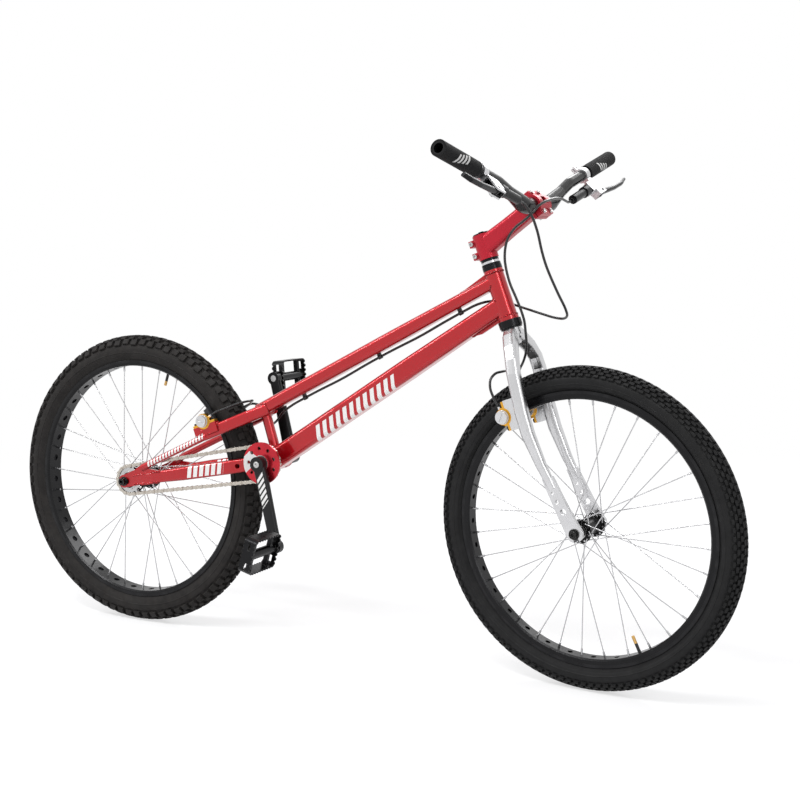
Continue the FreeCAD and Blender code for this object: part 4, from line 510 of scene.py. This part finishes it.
MATERIALS = {
    "frame_red": frame_paint(),
    "stem_red": stem_paint(),
    "fork_silver": metal(
        "polished_fork", (0.60, 0.60, 0.61), 0.27, (1.0, 1.0, 0.08), 500.0, 0.000004, 0.0006,
    ),
    "black_alloy": metal("black_anodised", (0.012, 0.012, 0.013), 0.3, wear=0.5, metallic=0.8),
    "silver_alloy": metal("silver_anodised", (0.62, 0.62, 0.63), 0.3),
    "gold_alloy": metal("gold_anodised", (0.72, 0.37, 0.05), 0.25),
    "red_alloy": bash_ring_metal(),
    "steel": metal("machined_steel", (0.50, 0.50, 0.50), 0.25),
    "black_steel": metal("black_oxide", (0.03, 0.03, 0.03), 0.36, wear=0.6),
    "chain_steel": metal("nickel_chain", (0.50, 0.46, 0.41), 0.24, grain_scale=1200.0),
    "spoke_steel": metal("drawn_spokes", (0.50, 0.50, 0.51), 0.22, edge=0.0),
    "hose": plastic("hose_sleeve", (0.008, 0.008, 0.009), 0.24, 500.0, 0.00002),
    "black_plastic": plastic("moulded_black", (0.012, 0.012, 0.013), 0.42, 900.0, 0.00006),
    "foam": foam(),
    "brake_pad": plastic("pad_compound", (0.03, 0.03, 0.032), 0.7, 500.0, 0.0001),
}
BY_NODE = {
    "crank_right": crank_metal(),
    "handlebar": gloss_black(),
    "headset_spacers": headset_metal(),
    "front_axle": MATERIALS["black_steel"],
    "rear_axle": MATERIALS["black_steel"],
    "front_rim": rim_metal("front_rim_black", "front_wheel_spin"),
    "rear_rim": rim_metal("rear_rim_black", "rear_wheel_spin"),
    "front_rim_tape": woven_tape("front_tape_weave", "front_wheel_spin"),
    "rear_rim_tape": woven_tape("rear_tape_weave", "rear_wheel_spin"),
    "front_inner_tube": valve_rubber("front_tube_rubber", "front_wheel_spin"),
    "rear_inner_tube": valve_rubber("rear_tube_rubber", "rear_wheel_spin"),
    "front_tyre": rubber(
        "front_tyre_rubber", "front_wheel_spin", (0.008, 0.008, 0.0085), (0.016, 0.016, 0.016), 0.6,
    ),
    "rear_tyre": rubber(
        "rear_tyre_rubber", "rear_wheel_spin", (0.016, 0.0145, 0.014), (0.033, 0.029, 0.026), 0.7,
    ),
}


def dress(piece, material):
    piece.data.materials.clear()
    piece.data.materials.append(material)


for name, node in NODES.items():
    material = BY_NODE.get(name) or MATERIALS[SLOT_OF[name]]
    for slot in node.material_slots:
        slot.material = material
    if not node.material_slots:
        dress(node, material)


# New pieces

def add_mesh(name, points, faces, material, smooth=True):
    mesh = bpy.data.meshes.new(name)
    mesh.from_pydata([tuple(point) for point in points], [], faces)
    mesh.validate()
    mesh.update()
    piece = bpy.data.objects.new(name, mesh)
    bpy.context.scene.collection.objects.link(piece)
    dress(piece, material)
    if smooth:
        mesh.shade_smooth()
    return piece


def arc(centre, radius, start, end, steps):
    """Points (distance from the axle, distance along it) on a section's circle. 0 degrees is outward."""
    points = []
    for step in range(steps + 1):
        angle = math.radians(start + (end - start) * step / steps)
        points.append((centre + radius * math.cos(angle), radius * math.sin(angle)))
    return points


class Wheel:
    """Turns (angle round the axle, distance from it, distance along it) into places on a wheel."""

    def __init__(self, spin):
        joint = SPINS[spin]
        self.centre = np.array(joint["pos_m"], float)
        axle = Vector(joint["axis"]).normalized()
        level = Vector((0.0, 0.0, 1.0)).cross(axle).normalized()
        self.axle = np.array(axle)
        self.level = np.array(level)
        self.upright = np.array(axle.cross(level))

    def place(self, angle, radius, along):
        around = math.cos(angle) * self.level + math.sin(angle) * self.upright
        return self.centre + around * radius + self.axle * along


def revolve(wheel, outline, steps):
    """The closed outline turned once round the wheel's axle."""
    points = []
    faces = []
    count = len(outline)
    for step in range(steps):
        angle = 2 * math.pi * step / steps
        points += [wheel.place(angle, radius, along) for radius, along in outline]
        following = (step + 1) % steps
        for index in range(count):
            after = (index + 1) % count
            faces.append((
                step * count + index, step * count + after,
                following * count + after, following * count + index,
            ))
    return points, faces


def tread_block(wheel, spot, section_centre, floor_radius, top_radius, inset, points, faces):
    """One block: angle range round the wheel, angle range across the section, with sloping sides."""
    (turn_low, turn_high), (low, high) = spot
    first = len(points)
    levels = (
        (floor_radius, -inset * 0.8), (top_radius - inset * 0.5, 0.0), (top_radius, inset),
    )
    for radius, pull in levels:
        turn_pull = pull / (section_centre + radius)
        low_pull = math.degrees(pull / radius)
        corners = (
            (turn_low + turn_pull, low + low_pull), (turn_high - turn_pull, low + low_pull),
            (turn_high - turn_pull, high - low_pull), (turn_low + turn_pull, high - low_pull),
        )
        for turn, across in corners:
            angle = math.radians(across)
            points.append(wheel.place(
                turn, section_centre + radius * math.cos(angle), radius * math.sin(angle)
            ))
    for level in (0, 4):
        for side in range(4):
            after = (side + 1) % 4
            faces.append((
                first + level + side, first + level + after,
                first + level + 4 + after, first + level + 4 + side,
            ))
    faces.append((first + 8, first + 9, first + 10, first + 11))
    faces.append((first + 3, first + 2, first + 1, first))


def tyre(name, spin, outer, section, rim_width, tread_floor, units, rows):
    """A carcass with beads, sidewall rings and separate tread blocks."""
    wheel = Wheel(spin)
    middle = outer - section
    casing = section - BLOCK_HEIGHT
    foot = rim_width / 2 - BEAD_PLAY
    side = []
    for across, radius in zip(*sidewall(casing, tread_floor)):
        angle = math.radians(across)
        side.append((middle + radius * math.cos(angle), radius * math.sin(angle)))
    mirrored_side = [(radius, -along) for radius, along in side[::-1]]
    outside = [(BEAD_RADIUS, -foot), (RIM_LIP, -foot)] + mirrored_side + side[1:]
    outside += [(RIM_LIP, foot), (BEAD_RADIUS, foot)]
    inner_foot = foot - BEAD_WIDTH
    inside = [(BEAD_RADIUS, -inner_foot), (RIM_LIP + LIP_STEP, -inner_foot)]
    inside += arc(middle, casing - CASING_WALL, -INSIDE_ARC, INSIDE_ARC, INSIDE_STEPS)
    inside += [(RIM_LIP + LIP_STEP, inner_foot), (BEAD_RADIUS, inner_foot)]
    points, faces = revolve(wheel, outside + inside[::-1], TURN_STEPS)
    pitch = 2 * math.pi / units
    for unit in range(units):
        for offset, share, low, high, inset, stagger in rows:
            start = pitch * (unit + offset)
            push = stagger if unit % 2 else 0.0
            for sign in (1, -1):
                if low < 0 < high and sign < 0:
                    continue
                across = sorted((sign * (low + push), sign * (high + push)))
                turn = (start, start + pitch * share)
                if sign < 0:
                    turn = tuple(value + pitch * 0.5 for value in turn)
                tread_block(
                    wheel, (turn, across), middle, tread_floor - BLOCK_ROOT, section, inset, points, faces,
                )
    return add_mesh(name, points, faces, BY_NODE[name.replace("_tread", "")], smooth=False)


def sidewall(casing, tread_floor):
    """Angles across half the section and the carcass radius there, crown to bead."""
    across = [*range(0, TREAD_EDGE, 8), TREAD_EDGE, 73, CASING_START, 80, 84, 88, 92, 96, 98, *SIDE_RING]
    across += [104, 108, 112, 118]
    radii = []
    for angle in across:
        if angle <= TREAD_EDGE:
            radius = tread_floor
        elif angle <= CASING_START:
            radius = tread_floor + (casing - tread_floor) * (angle - TREAD_EDGE) / (CASING_START - TREAD_EDGE)
        else:
            radius = casing
        if angle in SIDE_RING:
            radius = casing + SIDE_RING_HEIGHT
        radii.append(radius)
    return across, radii


# Rows of blocks, each on both sides: offset and length as shares of the pitch, from and to in degrees
# across the section, slope of the sides in metres, stagger of every other block in degrees
REAR_ROWS = [
    (0.04, 0.60, 3.0, 15.0, 0.0009, 0.0),
    (0.52, 0.52, 21.0, 37.0, 0.0009, 2.0),
    (0.00, 0.66, 43.0, 66.0, 0.0010, -4.0),
]
FRONT_ROWS = [
    (0.00, 0.70, -6.5, 6.5, 0.0006, 0.0),
    (0.50, 0.66, 10.5, 22.0, 0.0006, 0.0),
    (0.00, 0.66, 26.0, 37.5, 0.0006, 0.0),
    (0.50, 0.66, 41.5, 52.5, 0.0006, 0.0),
    (0.00, 0.60, 56.0, 66.0, 0.0006, 0.0),
]
rear_tread = tyre("rear_tyre_tread", "rear_wheel_spin", 0.314, 0.032, 0.044, 0.0265, 84, REAR_ROWS)
front_tread = tyre("front_tyre_tread", "front_wheel_spin", 0.305, 0.028, 0.031, 0.0235, 120, FRONT_ROWS)
TREADS = (
    (rear_tread, "rear_wheel", "rear_tyre"),
    (front_tread, "front_wheel", "front_tyre"),
)
for piece, body, node in TREADS:
    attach(piece, body)
    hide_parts(node)


# Welds

def welded(node):
    """The node's mesh with its split corners joined."""
    joined = bmesh.new()
    joined.from_mesh(node.data)
    bmesh.ops.remove_doubles(joined, verts=joined.verts, dist=SAME_CORNER)
    return joined


def concave_runs(joined):
    """Runs of vertices along the inward corners of a mesh, where welded tubes meet."""
    links = {}
    for edge in joined.edges:
        if len(edge.link_faces) == 2 and edge.calc_face_angle_signed(0.0) < -LEAST_WELD_ANGLE:
            first, second = edge.verts
            links.setdefault(first.index, []).append(second.index)
            links.setdefault(second.index, []).append(first.index)
    used = set()
    runs = []
    starts = sorted(index for index, near in links.items() if len(near) != 2)
    for start in starts + sorted(links):
        for following in links[start]:
            if (min(start, following), max(start, following)) in used:
                continue
            run = [start]
            previous, current = start, following
            while True:
                used.add((min(previous, current), max(previous, current)))
                run.append(current)
                if len(links[current]) != 2 or current == start:
                    break
                ahead = [index for index in links[current] if index != previous]
                if not ahead or (min(current, ahead[0]), max(current, ahead[0])) in used:
                    break
                previous, current = current, ahead[0]
            runs.append(run)
    return runs


def resampled(points, step):
    """Points and outward ways at even steps along a run."""
    lengths = np.linalg.norm(np.diff(points, axis=0), axis=1)
    reach = np.concatenate([[0.0], np.cumsum(lengths)])
    count = max(4, int(reach[-1] / step))
    spots = np.linspace(0.0, reach[-1], count)
    columns = [np.interp(spots, reach, points[:, axis]) for axis in range(points.shape[1])]
    return spots, np.stack(columns, 1)


def bead_along(points, outs, radius, vertices, faces):
    """A rippled weld bead along a run of points."""
    spots, data = resampled(np.hstack([points, outs]), WELD_STEP)
    for _ in range(WELD_SMOOTHING):
        data[1:-1] = (data[:-2] + 2 * data[1:-1] + data[2:]) / 4
    line = data[:, :3]
    out = data[:, 3:]
    tangent = np.gradient(line, axis=0)
    tangent /= np.linalg.norm(tangent, axis=1, keepdims=True) + 1e-12
    out -= tangent * np.sum(out * tangent, axis=1, keepdims=True)
    out /= np.linalg.norm(out, axis=1, keepdims=True) + 1e-12
    side = np.cross(tangent, out)
    ripple = WELD_RIPPLE[0] + WELD_RIPPLE[1] * np.cos(2 * math.pi * spots / WELD_PITCH)
    ripple[0] = ripple[-1] = WELD_END
    first = len(vertices)
    for index in range(len(spots)):
        for turn in range(WELD_SIDES):
            angle = 2 * math.pi * turn / WELD_SIDES
            reach = radius * ripple[index]
            around = math.cos(angle) * out[index] + math.sin(angle) * side[index]
            vertices.append(line[index] + reach * around)
    for index in range(len(spots) - 1):
        for turn in range(WELD_SIDES):
            after = (turn + 1) % WELD_SIDES
            base = first + index * WELD_SIDES
            faces.append((base + turn, base + WELD_SIDES + turn, base + WELD_SIDES + after, base + after))
    last = first + (len(spots) - 1) * WELD_SIDES
    faces.append(tuple(first + turn for turn in range(WELD_SIDES)))
    faces.append(tuple(last + turn for turn in reversed(range(WELD_SIDES))))


def weld_beads(name, node, radius, material):
    """One piece with a bead along every long inward corner of a node."""
    joined = welded(NODES[node])
    joined.verts.ensure_lookup_table()
    vertices = []
    faces = []
    for run in concave_runs(joined):
        points = np.array([joined.verts[index].co for index in run], float)
        if np.linalg.norm(np.diff(points, axis=0), axis=1).sum() < LEAST_WELD_LENGTH:
            continue
        outs = []
        for index in run:
            normal = Vector((0.0, 0.0, 0.0))
            for face in joined.verts[index].link_faces:
                normal += face.normal
            outs.append(normal.normalized())
        bead_along(points, np.array(outs, float), radius, vertices, faces)
    joined.free()
    return add_mesh(name, vertices, faces, material)


frame_welds = weld_beads("frame_welds", "frame", WELD_RADIUS, MATERIALS["frame_red"])
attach(frame_welds, "frame")


# Camera, floor and light

def add_camera():
    """The photograph's camera, turned by its yaw, pitch and roll."""
    look = Vector((
        -math.sin(CAMERA_YAW) * math.cos(CAMERA_PITCH),
        math.cos(CAMERA_YAW) * math.cos(CAMERA_PITCH),
        -math.sin(CAMERA_PITCH),
    ))
    level = look.cross(Vector((0.0, 0.0, 1.0))).normalized()
    up = level.cross(look)
    right = level * math.cos(CAMERA_ROLL) + up * math.sin(CAMERA_ROLL)
    top = up * math.cos(CAMERA_ROLL) - level * math.sin(CAMERA_ROLL)
    camera = bpy.data.objects.new("camera", bpy.data.cameras.new("camera"))
    bpy.context.scene.collection.objects.link(camera)
    turn = Matrix((right, top, -look)).transposed().to_4x4()
    camera.matrix_world = Matrix.Translation(CAMERA_PLACE) @ turn
    camera.data.sensor_width = 36.0
    camera.data.lens = CAMERA_LENS
    camera.data.shift_y = CAMERA_SHIFT_Y
    camera.data.clip_end = 100.0
    bpy.context.scene.camera = camera


def add_floor():
    """A plain floor that shows as white and keeps the bike's soft shadow."""
    half = FLOOR_SIZE / 2
    corners = [(x, y, FLOOR_Z) for x, y in ((-half, -half), (half, -half), (half, half), (-half, half))]
    material = bpy.data.materials.new("pale_floor")
    material.use_nodes = True
    tree = material.node_tree
    tree.nodes.clear()
    output = tree.nodes.new("ShaderNodeOutputMaterial")
    paint = tree.nodes.new("ShaderNodeBsdfDiffuse")
    paint.inputs["Color"].default_value = (FLOOR_ALBEDO, FLOOR_ALBEDO, FLOOR_ALBEDO * 1.02, 1.0)
    glow = tree.nodes.new("ShaderNodeEmission")
    both = tree.nodes.new("ShaderNodeAddShader")
    white = tree.nodes.new("ShaderNodeEmission")
    far = tree.nodes.new("ShaderNodeMixShader")
    seen = tree.nodes.new("ShaderNodeLightPath")
    shown = add_maths(tree, "MAXIMUM", seen.outputs["Is Camera Ray"], seen.outputs["Is Glossy Ray"])
    shown = add_maths(tree, "MAXIMUM", shown, seen.outputs["Is Transmission Ray"])
    tree.links.new(add_maths(tree, "MULTIPLY", shown, FLOOR_LIFT), glow.inputs["Strength"])
    tree.links.new(add_maths(tree, "MAXIMUM", shown, FLOOR_FAR_LIGHT), white.inputs["Strength"])
    place = tree.nodes.new("ShaderNodeTexCoord")
    away = tree.nodes.new("ShaderNodeVectorMath")
    away.operation = "DISTANCE"
    away.inputs[1].default_value = FLOOR_MIDDLE
    tree.links.new(place.outputs["Object"], away.inputs[0])
    fade = tree.nodes.new("ShaderNodeMapRange")
    fade.interpolation_type = "SMOOTHSTEP"
    tree.links.new(away.outputs["Value"], fade.inputs[0])
    fade.inputs[1].default_value = FLOOR_FADE[0]
    fade.inputs[2].default_value = FLOOR_FADE[1]
    tree.links.new(paint.outputs[0], both.inputs[0])
    tree.links.new(glow.outputs[0], both.inputs[1])
    tree.links.new(fade.outputs[0], far.inputs[0])
    tree.links.new(both.outputs[0], far.inputs[1])
    tree.links.new(white.outputs[0], far.inputs[2])
    tree.links.new(far.outputs[0], output.inputs["Surface"])
    floor = add_mesh("floor", corners, [(0, 1, 2, 3)], material, smooth=False)


def add_maths(tree, operation, first, second):
    node = tree.nodes.new("ShaderNodeMath")
    node.operation = operation
    for socket, value in zip(node.inputs, (first, second)):
        if isinstance(value, bpy.types.NodeSocket):
            tree.links.new(value, socket)
        else:
            socket.default_value = value
    return node.outputs[0]


def add_world():
    """White where it is seen or mirrored, and a dimmer light elsewhere."""
    world = bpy.data.worlds.new("studio")
    bpy.context.scene.world = world
    world.use_nodes = True
    tree = world.node_tree
    tree.nodes.clear()
    output = tree.nodes.new("ShaderNodeOutputWorld")
    sky = tree.nodes.new("ShaderNodeBackground")
    sky.inputs["Color"].default_value = (1.0, 1.0, 1.0, 1.0)
    seen = tree.nodes.new("ShaderNodeLightPath")
    shown = add_maths(tree, "MAXIMUM", seen.outputs["Is Camera Ray"], seen.outputs["Is Glossy Ray"])
    shown = add_maths(tree, "MAXIMUM", shown, seen.outputs["Is Transmission Ray"])
    tree.links.new(add_maths(tree, "MAXIMUM", shown, WORLD_FILL), sky.inputs["Strength"])
    tree.links.new(sky.outputs[0], output.inputs["Surface"])


def add_lamp(name, place, target, size, power):
    data = bpy.data.lights.new(name, "AREA")
    data.shape = "RECTANGLE"
    data.size, data.size_y = size
    data.energy = power
    lamp = bpy.data.objects.new(name, data)
    bpy.context.scene.collection.objects.link(lamp)
    lamp.location = place
    lamp.rotation_euler = (Vector(target) - Vector(place)).to_track_quat("-Z", "Y").to_euler()


add_camera()
add_floor()
add_world()
for lamp in LAMPS:
    add_lamp(*lamp)
bpy.context.scene.view_settings.view_transform = "Standard"
